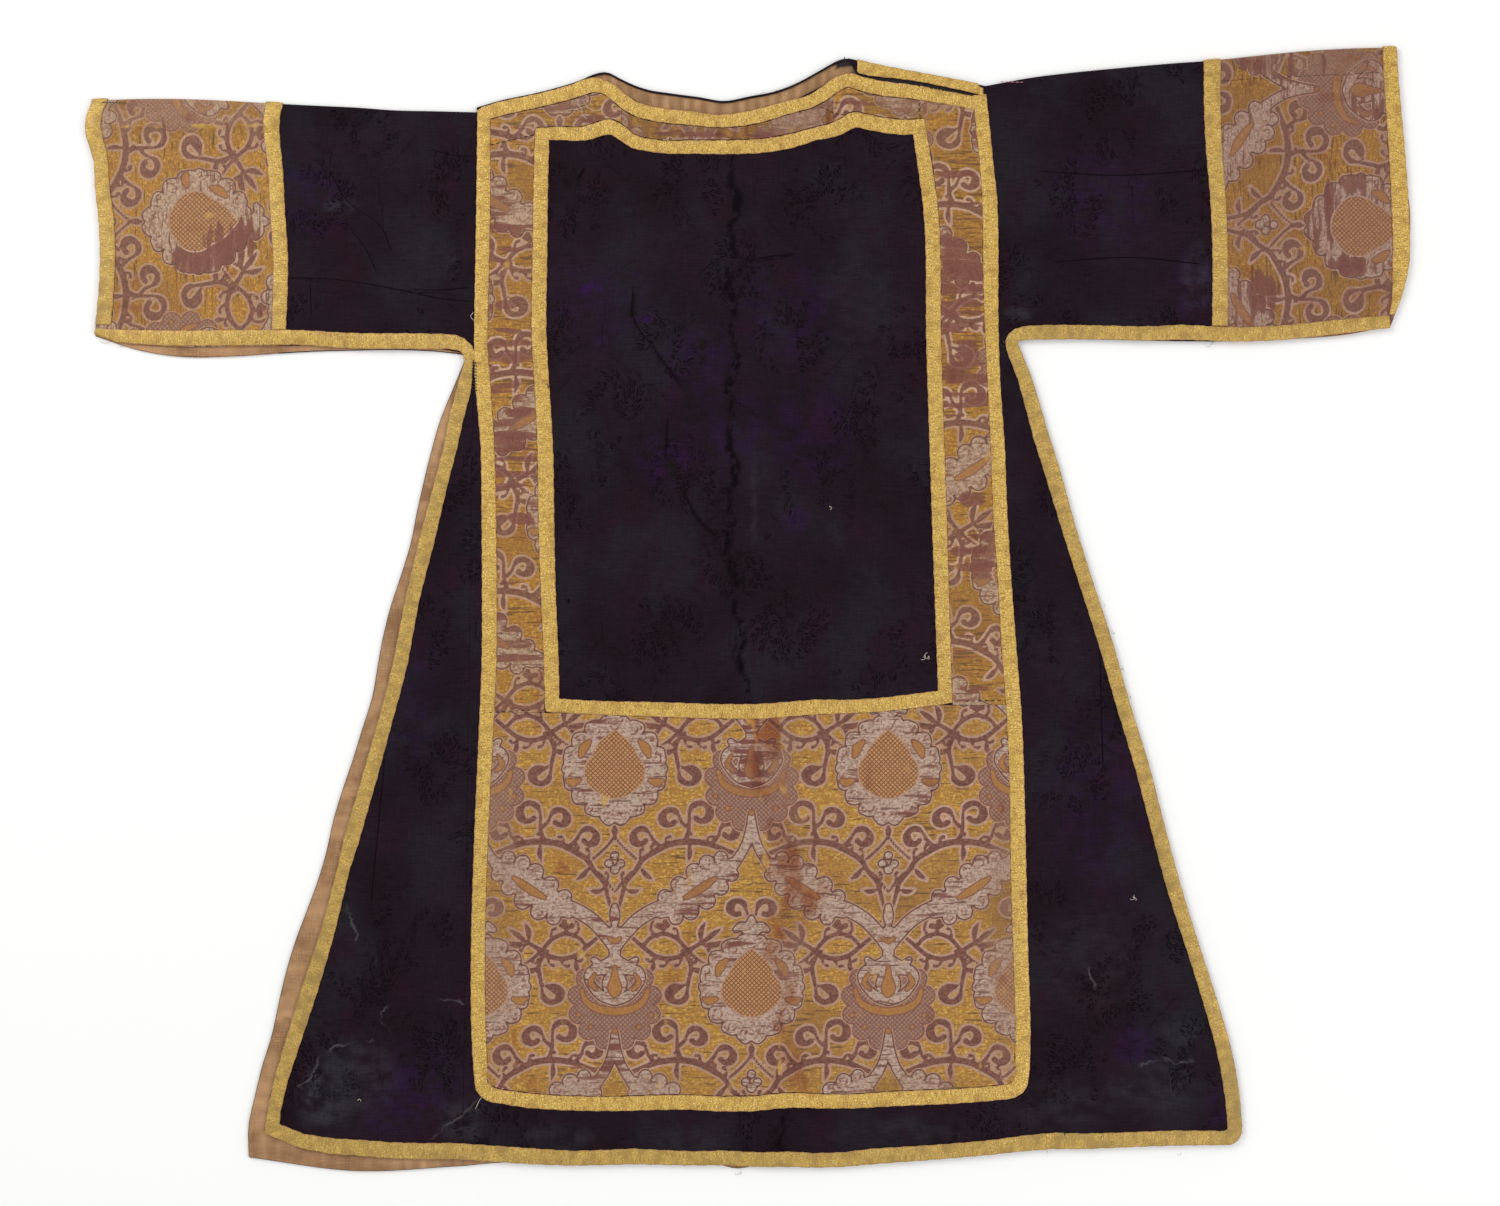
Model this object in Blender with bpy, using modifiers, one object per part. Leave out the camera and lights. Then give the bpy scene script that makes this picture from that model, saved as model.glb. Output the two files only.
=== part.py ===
"""A dalmatic laid out flat: dark silk damask, brocade apparels, cuffs and gold braid.

The whole garment is drawn on one cutting sheet, in millimetres: "across" runs right from the
sheet's left edge and "down" runs from its top edge.  The part's own frame has its origin on the
table under the middle of the garment, +X to the right, +Y towards the neck and +Z up.

The back lies on the table with its lining up, and the front lies on it.  Both sleeves and cuffs
are one wall each, folded over along the top of the arm and open underneath.
"""

import math
from collections import namedtuple

import bmesh
import bpy
import numpy as np

MILLIMETRE = 0.001
MIDDLE_ACROSS = 747.67    # the cutting sheet's point over the part's origin
MIDDLE_DOWN = 608.6

# Layers, from the table up.
CLOTH = 1.4               # damask with its interlining
LINING = 1.0
BROCADE = 1.0
BRAID = 1.2
GAP = 0.3
LINING_TOP = CLOTH + GAP + LINING
FRONT_TOP = LINING_TOP + GAP + CLOTH
TURN_RADIUS = FRONT_TOP / 2      # outside of a fold from the back layer to the front layer
TURN_ANGLES = (90, 45, 0, -45, -90)
BRAID_TURN_ANGLES = (90, 45, 0, -30)       # a braid over a fold stops just above the table
SEAM = GAP / 2            # each cut edge stands back this far from its seam line
LINING_MARGIN = 0.7       # the back's cloth shows this far round its lining
LINING_FROM_FOLD = 3.5    # a lining ends this far inside a fold
BACK_INSET = 3.0          # the back's hidden edges lie this far inside the front's
TIGHT_GAP = 0.8           # between brocade and braid along the neck's turns and the foot
CREASE_BAND = 30.0        # half the width that close lines along the centre crease take
CREASE_STEP = 10.0

Level = namedtuple("Level", "across down")                 # an edge that runs across
Side = namedtuple("Side", "down across")                   # an edge that runs down
LevelBraid = namedtuple("LevelBraid", "across down width")
SideBraid = namedtuple("SideBraid", "down across width")
Neck = namedtuple("Neck", "across down flap")
Ridge = namedtuple("Ridge", "runs_down path width height start end fade")
Finish = namedtuple("Finish", "colour roughness metallic")
Station = namedtuple("Station", "part place")
Grid = namedtuple("Grid", "columns rows")
Run = namedtuple("Run", "start end")
Tops = namedtuple("Tops", "left right")
Fine = namedtuple("Fine", "start end step")                # a span whose cross lines are closer

FINISHES = {
    "damask": Finish((0.018, 0.010, 0.016), 0.55, 0.0),
    "brocade": Finish((0.36, 0.20, 0.06), 0.50, 0.2),
    "braid": Finish((0.62, 0.42, 0.10), 0.38, 0.5),
    "lining": Finish((0.39, 0.19, 0.11), 0.75, 0.0),
}


def rows_of(kind, *rows):
    """A table: one named row for each tuple."""
    return [kind(*row) for row in rows]


# The outer braid of the apparels: down the left, across the foot and up the right.
ORPHREY_LEFT = rows_of(
    SideBraid,
    (124, 484.3, 13.0), (200, 483.9, 14.2), (300, 482.1, 13.8), (345, 481.3, 13.4),
    (381, 483.0, 15.5), (440, 487.8, 13.8), (520, 489.4, 14.6), (600, 490.0, 15.0),
    (660, 489.7, 15.0), (730, 486.7, 14.6), (850, 481.2, 13.8), (970, 478.4, 14.2),
    (1030, 479.2, 14.8), (1075, 481.5, 14.0), (1100, 484.0, 14.0))
ORPHREY_FOOT = rows_of(
    LevelBraid,
    (486, 1093.0, 13.5), (520, 1098.7, 14.6), (560, 1101.8, 14.4), (610, 1102.8, 14.4),
    (680, 1101.0, 14.8), (750, 1103.0, 15.0), (782, 1099.3, 15.0), (840, 1100.7, 14.0),
    (900, 1097.3, 15.0), (960, 1095.0, 14.6), (1020, 1089.5, 14.5))
ORPHREY_RIGHT = rows_of(
    SideBraid,
    (101, 979.5, 13.5), (120, 981.5, 14.0), (160, 985.5, 13.5), (200, 989.3, 15.0),
    (245, 990.0, 16.0), (320, 990.8, 14.0), (380, 993.2, 12.6), (450, 997.3, 14.4),
    (510, 999.4, 14.4), (580, 1004.0, 13.5), (654, 1008.8, 15.0), (714, 1013.5, 15.0),
    (800, 1016.6, 15.0), (880, 1018.0, 15.8), (970, 1020.6, 15.0), (1020, 1022.2, 15.4),
    (1060, 1022.0, 15.0), (1090, 1019.5, 15.0))

# The braid round the plain centre panel.
PANEL_LEFT = rows_of(
    SideBraid,
    (143, 542.3, 14.5), (180, 541.2, 14.6), (260, 540.2, 14.8), (340, 539.4, 14.9),
    (385, 542.2, 14.8), (451, 545.7, 15.8), (520, 546.6, 16.0), (600, 548.8, 15.0),
    (660, 551.5, 15.0), (706, 552.6, 15.0))
PANEL_FOOT = rows_of(
    LevelBraid,
    (552, 705.0, 14.0), (600, 707.7, 13.5), (660, 709.3, 15.0), (720, 711.2, 14.5),
    (765, 710.8, 15.0), (800, 708.0, 14.8), (830, 706.0, 15.0), (855, 706.5, 13.0),
    (900, 702.5, 14.5), (945, 696.6, 14.0))
PANEL_RIGHT = rows_of(
    SideBraid,
    (137, 920.0, 14.0), (150, 922.8, 14.0), (165, 924.3, 14.2), (190, 928.2, 14.8),
    (350, 933.5, 15.0), (520, 939.0, 15.0), (697, 944.8, 14.0))
PANEL_TOP = rows_of(
    LevelBraid,
    (536, 135.2, 12.0), (560, 134.3, 13.3), (585, 134.6, 14.0), (600, 130.0, 14.5),
    (610, 127.8, 15.0), (620, 132.6, 14.0), (632, 141.5, 13.0), (650, 146.2, 12.5),
    (700, 148.0, 13.5), (735, 148.2, 14.0), (770, 145.8, 14.0), (795, 141.0, 14.0),
    (815, 134.8, 12.5), (832, 131.2, 14.0), (843, 126.5, 14.5), (853, 120.8, 15.0),
    (865, 122.6, 15.0), (885, 126.5, 15.0), (905, 128.3, 15.0), (921, 127.2, 15.0))

# The braid along the front's shoulders and round its neckline.
NECK_BRAID = rows_of(
    LevelBraid,
    (478, 117.5, 12.0), (500, 111.0, 12.0), (540, 102.2, 11.5), (575, 92.8, 12.0),
    (590, 87.6, 13.0), (601, 87.0, 13.5), (610, 91.0, 13.5), (620, 99.2, 13.5),
    (632, 108.0, 13.5), (645, 113.0, 14.0), (665, 116.8, 14.0), (690, 119.0, 14.0),
    (718, 122.2, 12.5), (740, 120.5, 13.5), (765, 115.2, 14.0), (790, 107.8, 13.0),
    (810, 102.5, 12.5), (824, 94.5, 13.5), (838, 84.5, 13.5), (848, 81.0, 13.5),
    (860, 84.5, 14.0), (880, 89.2, 14.5), (910, 92.5, 14.0), (940, 97.5, 13.5),
    (972, 104.0, 13.0), (987, 108.0, 13.0))

# The braid down both sides and along the hem.
HEM_LEFT = rows_of(
    SideBraid,
    (358, 470.2, 7.5), (381, 467.2, 13.5), (400, 460.8, 15.5), (440, 452.8, 13.4),
    (480, 442.5, 13.4), (520, 432.5, 14.6), (540, 427.6, 15.4), (600, 412.8, 14.0),
    (663, 401.0, 14.6), (726, 384.6, 13.8), (770, 372.4, 14.8), (840, 352.0, 15.5),
    (870, 343.8, 12.4), (930, 328.8, 14.0), (992, 309.5, 16.3), (1058, 288.5, 14.6),
    (1100, 276.6, 12.5), (1127, 273.0, 14.0))
HEM_FOOT = rows_of(
    LevelBraid,
    (273, 1127.5, 14.0), (290, 1135.0, 14.0), (310, 1142.2, 15.0), (350, 1145.8, 16.0),
    (410, 1150.0, 16.0), (450, 1149.7, 16.0), (490, 1152.3, 16.0), (530, 1155.0, 16.0),
    (580, 1157.2, 14.5), (630, 1155.2, 15.6), (690, 1157.3, 14.0), (720, 1156.7, 14.6),
    (760, 1158.4, 14.5), (790, 1158.0, 15.4), (826, 1159.6, 14.0), (870, 1155.5, 15.6),
    (940, 1150.7, 14.6), (1000, 1145.3, 14.6), (1045, 1140.0, 16.4), (1085, 1140.2, 15.5),
    (1120, 1139.0, 14.8), (1170, 1137.0, 15.0), (1235, 1137.0, 14.0))
HEM_RIGHT = rows_of(
    SideBraid,
    (347, 1011.5, 13.0), (362, 1017.0, 13.4), (380, 1024.5, 13.6), (430, 1038.3, 15.6),
    (462, 1048.7, 16.0), (526, 1067.3, 14.0), (588, 1087.0, 13.6), (640, 1104.0, 14.2),
    (700, 1120.9, 13.8), (770, 1142.3, 14.4), (820, 1155.2, 14.0), (880, 1171.0, 14.4),
    (950, 1193.0, 13.4), (994, 1207.2, 14.0), (1060, 1225.5, 14.6), (1096, 1231.4, 14.6),
    (1137, 1234.8, 14.4))

# The braids of the sleeves: along the open lower edge, round the cuff, and on the cuff's seam.
SLEEVE_HEM_LEFT = rows_of(
    LevelBraid,
    (96, 331.5, 6.0), (104, 333.8, 9.5), (112, 335.4, 12.0), (150, 338.0, 15.0),
    (250, 338.2, 15.4), (300, 338.0, 14.5), (350, 341.2, 15.5), (430, 342.0, 15.5),
    (455, 343.2, 14.5), (473, 349.0, 12.0))
SLEEVE_HEM_RIGHT = rows_of(
    LevelBraid,
    (1003, 342.6, 4.0), (1010, 339.0, 8.0), (1019, 334.2, 12.6), (1040, 333.0, 14.5),
    (1100, 333.0, 14.0), (1150, 334.0, 14.0), (1180, 332.8, 15.0), (1230, 335.0, 14.2),
    (1290, 332.5, 14.5), (1320, 329.2, 14.5), (1350, 326.0, 14.0), (1389, 322.0, 12.5))
CUFF_LEFT = rows_of(
    SideBraid,
    (100, 101.8, 14.0), (112, 96.5, 14.0), (126, 94.3, 16.0), (141, 96.5, 16.0),
    (156, 101.2, 14.0), (185, 103.2, 14.5), (225, 107.8, 15.5), (262, 108.8, 15.2),
    (290, 107.5, 15.0), (330, 103.8, 15.5))
CUFF_RIGHT = rows_of(
    SideBraid,
    (48, 1388.5, 14.0), (70, 1389.3, 14.6), (110, 1392.2, 15.0), (145, 1395.0, 16.0),
    (200, 1398.5, 17.0), (265, 1399.5, 17.0), (290, 1396.8, 11.5), (303, 1394.4, 8.0),
    (316, 1390.4, 5.0))
BAND_LEFT = rows_of(
    SideBraid,
    (104, 275.5, 16.5), (113, 273.4, 16.0), (135, 272.7, 15.4), (165, 276.0, 14.5),
    (212, 278.5, 14.8), (265, 281.7, 14.6), (290, 281.3, 14.6), (330, 279.8, 13.8))
BAND_RIGHT = rows_of(
    SideBraid,
    (61, 1211.3, 16.8), (110, 1211.3, 16.4), (150, 1213.0, 16.0), (195, 1216.7, 15.4),
    (225, 1218.3, 15.2), (250, 1219.0, 15.2), (327, 1218.9, 15.4))

# Straight seams where the sleeves and the side gores join the front and back.
SEAM_LEFT = rows_of(Side, (105, 477), (1175, 463))
SEAM_RIGHT = rows_of(Side, (85, 985), (1175, 1027.5))

# The sleeves' folds along the top of the arm, and their open lower edges.
FOLD_LEFT = rows_of(
    Level, (80, 102.5), (94, 101), (110, 100.2), (140, 99.5), (200, 100), (240, 102),
    (268, 103.6), (300, 105.5), (340, 107), (400, 111), (440, 111.8), (478, 112.8))
FOLD_RIGHT = rows_of(
    Level, (984, 87.2), (992, 83), (1001, 80.5), (1020, 79.5), (1050, 75.5), (1110, 69.5),
    (1150, 65.5), (1203, 62), (1245, 57.5), (1300, 52), (1350, 49), (1400, 48))
LOWER_LEFT = rows_of(
    Level, (94, 334), (104, 339), (112, 341.5), (150, 345.5), (275, 346), (300, 345.3),
    (350, 349), (450, 350.2), (463, 352), (476, 355.5))
LOWER_RIGHT = rows_of(
    Level, (998, 345.5), (1008, 343.5), (1020, 340.6), (1100, 340.2), (1150, 341), (1205, 342),
    (1250, 341.3), (1290, 339.5), (1340, 335.5), (1380, 330.5), (1392, 325.5))
LINING_LOWER_LEFT = rows_of(
    Level, (94, 335), (112, 343), (130, 347.5), (160, 354), (240, 355.5), (300, 351.5),
    (350, 350), (430, 350.5), (476, 355.5))
LINING_SHOWS_RIGHT = rows_of(
    Side, (48, -3), (190, -1.5), (212, 2.2), (228, 2.2), (255, -1.5), (330, -3))
RIGHT_BACK_INSET = 1.5    # the right sleeve's back layer ends this far inside its front one
RIGHT_LINING_INSET = 2.0  # and its lining this far

# The back's lining, which shows along the left side, the hem's left end and one torn place.
LINING_LEFT = rows_of(
    Side, (358, 466.4), (380, 458), (403, 447.4), (430, 438), (460, 430), (510, 418.2),
    (540, 412.4), (602, 393), (622, 386.6), (640, 383.5), (670, 378), (682, 376.8), (716, 367),
    (771, 350), (806, 338), (868, 323), (900, 311.7), (954, 292), (992, 282), (1034, 273),
    (1070, 262), (1110, 253), (1140, 247.8), (1158, 250))
LINING_FOOT = rows_of(
    Level, (247, 1156), (270, 1160), (310, 1166.4), (350, 1169.8), (390, 1170.8), (430, 1168),
    (463, 1165), (500, 1161.4), (560, 1160), (722, 1160), (736, 1167), (748, 1170.6),
    (756, 1162), (800, 1160), (900, 1157), (1027, 1145), (1237, 1138.5))

# The back's turned top edge.  Its flap is narrow round the neck and wide on the right shoulder.
BACK_TOP = rows_of(
    Neck, (470, 111.2, 2.6), (485, 104.6, 2.6), (500, 101.0, 2.6), (540, 92.6, 2.6),
    (575, 82.6, 2.6), (590, 77.0, 2.6), (602, 71.5, 2.6), (612, 75, 2.6), (626, 82, 2.6),
    (642, 88.5, 2.6), (665, 93, 2.6), (695, 96.8, 2.6), (718, 101.6, 2.6), (745, 97.5, 2.6),
    (770, 93, 2.6), (790, 87, 2.6), (808, 77.6, 2.6), (824, 68.6, 2.6), (838, 61, 2.6),
    (846, 59, 2.6), (852, 59.4, 2.6), (856, 60.6, 13.4), (870, 64.2, 13.0), (895, 69.4, 10.0),
    (921, 74.2, 8.8), (953, 80.2, 9.6), (990, 87.4, 10.6))

# Piecing seams of the brocade.
SEAM_SHOULDER_LEFT = rows_of(Level, (488, 146.6), (540, 135.2))
SHOULDER_DOWN = 130.0     # the left shoulder piece's outer end is measured here
STEP_IN = 0.2             # and its lower edge steps from the seam to the braid over this width
SEAM_COLUMN_LEFT = 712.4
SEAM_COLUMN_RIGHT = 704.8
CORNER_CUT = 7.0          # cut off the foot's lower corners
SEAM_NECK_LEFT = 622.0
SEAM_NECK_RIGHT = 833.0
SEAM_SHOULDER_RIGHT = 919.4

# Where the side gores start, just below the arms.
BACK_GORE_TOPS = Tops(359.5, 350.5)
FRONT_GORE_TOPS = Tops(358.4, 347.2)

# Where each braid starts and ends.
ORPHREY_TOPS = Tops(124.5, 100.8)
PANEL_TOPS = Tops(142.6, 137.2)
HEM_TOPS = Tops(359.0, 348.0)
PANEL_TOP_RUN = Run(536.2, 919.8)
NECK_RUN = Run(479.0, 971.0)
SLEEVE_LEFT_RUN = Run(96.2, 472.2)
SLEEVE_RIGHT_RUN = Run(1003.2, 1388.5)
SHOULDER_RUN = Run(857.0, 978.0)
LOWER_ENDS = {"cuff_left": 325.0, "cuff_right": 315.0, "band_left": 330.0, "band_right": 326.2}
SHOULDER_FOLD_SHARE = 0.02         # how far down the back's flap its braid reaches

# How the braids turn their corners: the rounding's reach along each leg.
ORPHREY_CORNERS = (13.0, 13.0)
PANEL_CORNERS = (0.0, 0.0)
HEM_CORNERS = (0.0, 12.0)
CORNER_STEPS = 4

# How far apart the cross lines are, and the cells of each wall.
LONG_STEP = 32.0
HEM_STEP = 30.0
BACK_STEP = 26.0
SLEEVE_STEP = 22.0
BRAID_STEP = 12.0
SHOULDER_STEP = 11.0
STRIP_STEP = 10.0
NECK_FINE = (Fine(578, 645, 5), Fine(700, 775, 10), Fine(800, 872, 5))   # turns, and the crease
BACK_FINE = (Fine(585, 640, 13), Fine(800, 830, 12), Fine(832, 880, 6))
FRONT_SHARES_LEFT = (1.0, 0.86, 0.72, 0.6, 0.54, 0.48, 0.42, 0.36, 0.28, 0.14)
FRONT_SHARES_RIGHT = (0.14, 0.28, 0.37, 0.42, 0.47, 0.52, 0.57, 0.68, 0.84, 1.0)
FOOT_SHARES = (1.0, 0.96, 0.84, 0.7, 0.55, 0.4, 0.27, 0.13)
BACK_ROWS = 4
FRONT_ROWS = 17
FOOT_ROWS = 10
GRIDS = {
    "back_gore_left": Grid(2, 26), "back_gore_right": Grid(2, 14),
    "gore_lining_left": Grid(2, 26), "gore_lining_right": Grid(2, 14),
    "front_gore_left": Grid(3, 26), "front_gore_right": Grid(3, 26),
    "sleeve_left": Grid(5, 18), "cuff_left": Grid(4, 18),
    "sleeve_right": Grid(5, 10), "cuff_right": Grid(4, 10),
    "sleeve_lining_left": Grid(10, 7), "sleeve_lining_right": Grid(10, 7),
    "brocade_column_left": Grid(1, 20), "brocade_column_right": Grid(4, 22),
}
SLEEVE_BACK_ROWS = 2
SETTLE = 8                # rounds that settle where two curves cross
SLOPE_REACH = 0.5         # a curve's slope is taken this far each way
SHORTEST = 0.35           # a last cell is at least this share of a step

# Soft ridges where the front has been folded in store.
CREASE = rows_of(
    Side, (100, 735), (400, 734), (620, 738), (700, 752), (760, 766), (900, 775), (1100, 784),
    (1175, 780))
RIDGES = (
    Ridge(True, CREASE, 60, 2.0, 60, 1230, 160),
    Ridge(False, rows_of(Level, (80, 128), (300, 127)), 50, 1.2, 20, 300, 60),
    Ridge(False, rows_of(Level, (262, 276), (380, 290), (474, 300)), 40, 1.0, 262, 474, 50),
)


def smooth(rows, column=1):
    """A smooth curve through a table's column, going on straight past both ends."""
    place = np.array([row[0] for row in rows], dtype=float)
    value = np.array([row[column] for row in rows], dtype=float)
    slope = np.gradient(value, place)

    def at(where):
        if where <= place[0]:
            return value[0] + slope[0] * (where - place[0])
        if where >= place[-1]:
            return value[-1] + slope[-1] * (where - place[-1])
        first = int(np.searchsorted(place, where, side="right")) - 1
        span = place[first + 1] - place[first]
        share = (where - place[first]) / span
        turned = share * share * (3 - 2 * share)
        rise = slope[first] * share * (1 - share) ** 2 - slope[first + 1] * share ** 2 * (1 - share)
        return value[first] + (value[first + 1] - value[first]) * turned + rise * span

    return at


def straight(rows, column=1):
    """The same with straight lines between the rows."""
    place = [row[0] for row in rows]
    value = [row[column] for row in rows]
    return lambda where: float(np.interp(where, place, value))


def moved(edge, distance):
    """An edge moved by a distance in its own table's direction."""
    return lambda where: edge(where) + distance


def level(down):
    """An edge that runs straight across."""
    return lambda across: down


class Leg:
    """One stretch of braid: its middle line and its width at any place along it."""

    def __init__(self, rows):
        self.runs_down = isinstance(rows[0], SideBraid)
        self.middle = smooth(rows)
        self.width = straight(rows, 2)

    def point(self, where):
        """The middle line's across and down, and the width there."""
        off = self.middle(where)
        return (off, where, self.width(where)) if self.runs_down else (where, off, self.width(where))

    def edge(self, side, extra=0.0):
        """One edge as a curve: side -1 is the left or upper one, and 1 the right or lower one."""
        def at(where):
            rise = self.middle(where + SLOPE_REACH) - self.middle(where - SLOPE_REACH)
            slope = rise / (2 * SLOPE_REACH)
            reach = self.width(where) / 2 + extra
            return self.middle(where) + side * reach * math.hypot(1, slope)
        return at


LEGS = {
    "orphrey_left": Leg(ORPHREY_LEFT), "orphrey_foot": Leg(ORPHREY_FOOT),
    "orphrey_right": Leg(ORPHREY_RIGHT), "panel_left": Leg(PANEL_LEFT),
    "panel_foot": Leg(PANEL_FOOT), "panel_right": Leg(PANEL_RIGHT), "panel_top": Leg(PANEL_TOP),
    "neck": Leg(NECK_BRAID), "hem_left": Leg(HEM_LEFT), "hem_foot": Leg(HEM_FOOT),
    "hem_right": Leg(HEM_RIGHT), "sleeve_left": Leg(SLEEVE_HEM_LEFT),
    "sleeve_right": Leg(SLEEVE_HEM_RIGHT), "cuff_left": Leg(CUFF_LEFT),
    "cuff_right": Leg(CUFF_RIGHT), "band_left": Leg(BAND_LEFT), "band_right": Leg(BAND_RIGHT),
}


def eased(share):
    """A soft step from 0 to 1."""
    share = min(max(share, 0.0), 1.0)
    return share * share * (3 - 2 * share)


RIDGE_PATHS = [(ridge, smooth(ridge.path)) for ridge in RIDGES]


def relief(across, down):
    """How far the ridges lift the front layer at a point of the cutting sheet."""
    height = 0.0
    for ridge, path in RIDGE_PATHS:
        along, off = (down, across) if ridge.runs_down else (across, down)
        beside = abs(off - path(along)) / (ridge.width / 2)
        if beside < 1:
            ends = eased((along - ridge.start) / ridge.fade) * eased((ridge.end - along) / ridge.fade)
            height += ridge.height * ends * (0.5 + 0.5 * math.cos(math.pi * beside))
    return height


def front_height(across, down):
    """The top of the front's cloth."""
    return FRONT_TOP + relief(across, down)


def raised_height(across, down):
    """The underside of what lies on the front's cloth."""
    return front_height(across, down) + GAP


def level_height(height):
    """A layer with no relief."""
    return lambda across, down: height


def to_metres(across, down, height):
    """A point of the cutting sheet in the part's frame."""
    return ((across - MIDDLE_ACROSS) * MILLIMETRE, (MIDDLE_DOWN - down) * MILLIMETRE,
            height * MILLIMETRE)


def spaced(start, end, step, fine=()):
    """Places from start to end, about a step apart, and closer inside the fine spans."""
    low, high = min(start, end), max(start, end)
    places = [low]
    while places[-1] < high - 1e-6:
        here = places[-1]
        close = [span.step for span in fine if span.start - span.step < here < span.end]
        stride = min([step] + close)
        places.append(min(here + stride, high))
    if len(places) > 2 and places[-1] - places[-2] < SHORTEST * step:
        del places[-2]
    return places if start < end else places[::-1]


def clear_scene():
    """Remove everything that the file holds."""
    for thing in list(bpy.data.objects):
        bpy.data.objects.remove(thing, do_unlink=True)


def material_for(name, finish):
    """One material for one piece."""
    material = bpy.data.materials.new(name)
    material.use_nodes = True
    shader = material.node_tree.nodes["Principled BSDF"]
    shader.inputs["Base Color"].default_value = (*finish.colour, 1.0)
    shader.inputs["Roughness"].default_value = finish.roughness
    shader.inputs["Metallic"].default_value = finish.metallic
    return material


def wall(name, finish, columns, rows, place, thickness, outward):
    """A wall made from a grid whose corners are placed by column and row, and then thickened.

    The grid is the wall's outer skin, or with outward the skin that lies on what is below it.
    """
    grid = bmesh.new()
    bmesh.ops.create_grid(grid, x_segments=columns - 1, y_segments=rows - 1, size=0.5)
    for corner in grid.verts:
        column = round((corner.co.x + 0.5) * (columns - 1))
        row = round((corner.co.y + 0.5) * (rows - 1))
        corner.co = to_metres(*place(column, row))
    mesh = bpy.data.meshes.new(name)
    grid.to_mesh(mesh)
    grid.free()
    piece = bpy.data.objects.new(name, mesh)
    mesh.materials.append(material_for(name, FINISHES[finish]))
    thicken = piece.modifiers.new("wall", "SOLIDIFY")
    thicken.thickness = thickness * MILLIMETRE
    thicken.offset = 1.0 if outward else -1.0
    thicken.use_even_offset = True
    bpy.data.collections["dalmatic"].objects.link(piece)
    return piece


def even(count):
    """Shares from 0 to 1 in equal steps."""
    return [step / count for step in range(count + 1)]


def across_at(left, right, share, down_at):
    """Where a line that keeps its share of the way from left to right meets a level edge."""
    across = left(MIDDLE_DOWN)
    for _ in range(SETTLE):
        down = down_at(across)
        across = left(down) + (right(down) - left(down)) * share
    return across


def panel(name, finish, edges, shares, rows, height, thickness, outward=False):
    """A piece cut to four edges: left and right are curves of down, top and bottom of across."""
    left, right, top, bottom = edges
    lines = []
    for share in shares:
        high = top(across_at(left, right, share, top))
        low = bottom(across_at(left, right, share, bottom))
        lines.append((share, low, high))

    def place(column, row):
        share, low, high = lines[column]
        down = low + (high - low) * rows[row]
        across = left(down) + (right(down) - left(down)) * share
        return across, down, height(across, down)

    return wall(name, finish, len(shares), len(rows), place, thickness, outward)


def plain_panel(name, finish, edges, height, thickness, outward=False):
    """A panel with even cells, as many as its row of GRIDS says."""
    grid = GRIDS[name]
    return panel(name, finish, edges, even(grid.columns), even(grid.rows), height, thickness, outward)


def creased_panel(name, finish, edges, columns, rows, height, thickness, outward=False):
    """A panel across the centre crease, with its own lines close together along it.

    Each column is measured from the crease: a share of the way to the left edge if negative or
    to the right edge if positive, or within the crease a distance in millimetres.
    """
    left, right, top, bottom = edges
    crease = smooth(CREASE)

    def across_of(column, down):
        kind, amount = column
        middle = crease(down)
        if kind == "near":
            return middle + amount
        if kind == "left":
            edge, start = left(down), middle - CREASE_BAND
        else:
            edge, start = right(down), middle + CREASE_BAND
        return start + (edge - start) * amount

    lines = []
    for column in columns:
        high, low = top(crease(MIDDLE_DOWN)), bottom(crease(MIDDLE_DOWN))
        for _ in range(SETTLE):
            high = top(across_of(column, high))
            low = bottom(across_of(column, low))
        lines.append((column, low, high))

    def place(column, row):
        line, low, high = lines[column]
        down = low + (high - low) * rows[row]
        across = across_of(line, down)
        return across, down, height(across, down)

    return wall(name, finish, len(columns), len(rows), place, thickness, outward)


def crease_columns(left_shares, right_shares):
    """Columns for creased_panel, from the left edge to the right one."""
    near = np.linspace(-CREASE_BAND, CREASE_BAND, round(2 * CREASE_BAND / CREASE_STEP) + 1)
    return ([("left", share) for share in left_shares]
            + [("near", float(distance)) for distance in near]
            + [("right", share) for share in right_shares])


class FoldedWall:
    """A wall that lies on the table, turns over along its top edge and lies on itself."""

    def __init__(self, fold, front_end, back_end):
        self.fold = fold
        self.front_end = front_end
        self.back_end = back_end

    def point(self, across, station, lift=0.0):
        """A point of the outer skin, or one lifted off it, as across, down and height."""
        turn = self.fold(across) + TURN_RADIUS
        if station.part == "turn":
            angle = math.radians(station.place)
            reach = TURN_RADIUS + lift
            return across, turn - reach * math.cos(angle), TURN_RADIUS + reach * math.sin(angle)
        if station.part == "front":
            end = self.front_end(across)
            down = end + (turn - end) * station.place
            return across, down, front_height(across, down) + lift
        down = turn + (self.back_end(across) - turn) * station.place
        return across, down, -lift


def wall_stations(front, back, angles=TURN_ANGLES):
    """Stations from the front's end, over the turn, to the back's end."""
    return ([Station("front", share) for share in front[:-1]]
            + [Station("turn", angle) for angle in angles]
            + [Station("back", share) for share in back[1:]])


def folded_sheet(name, finish, folded, left, right, shares, stations):
    """A folded wall between two side edges, which are curves of down."""
    def place(column, row):
        station = stations[row]
        across = across_at(left, right, shares[column], lambda at: folded.point(at, station)[1])
        return folded.point(across, station)

    return wall(name, finish, len(shares), len(stations), place, CLOTH, False)


def leg_points(leg, start, end, step, fine=()):
    """Points down the middle of a leg, each with the width there."""
    return [leg.point(where) for where in spaced(start, end, step, fine)]


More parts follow.
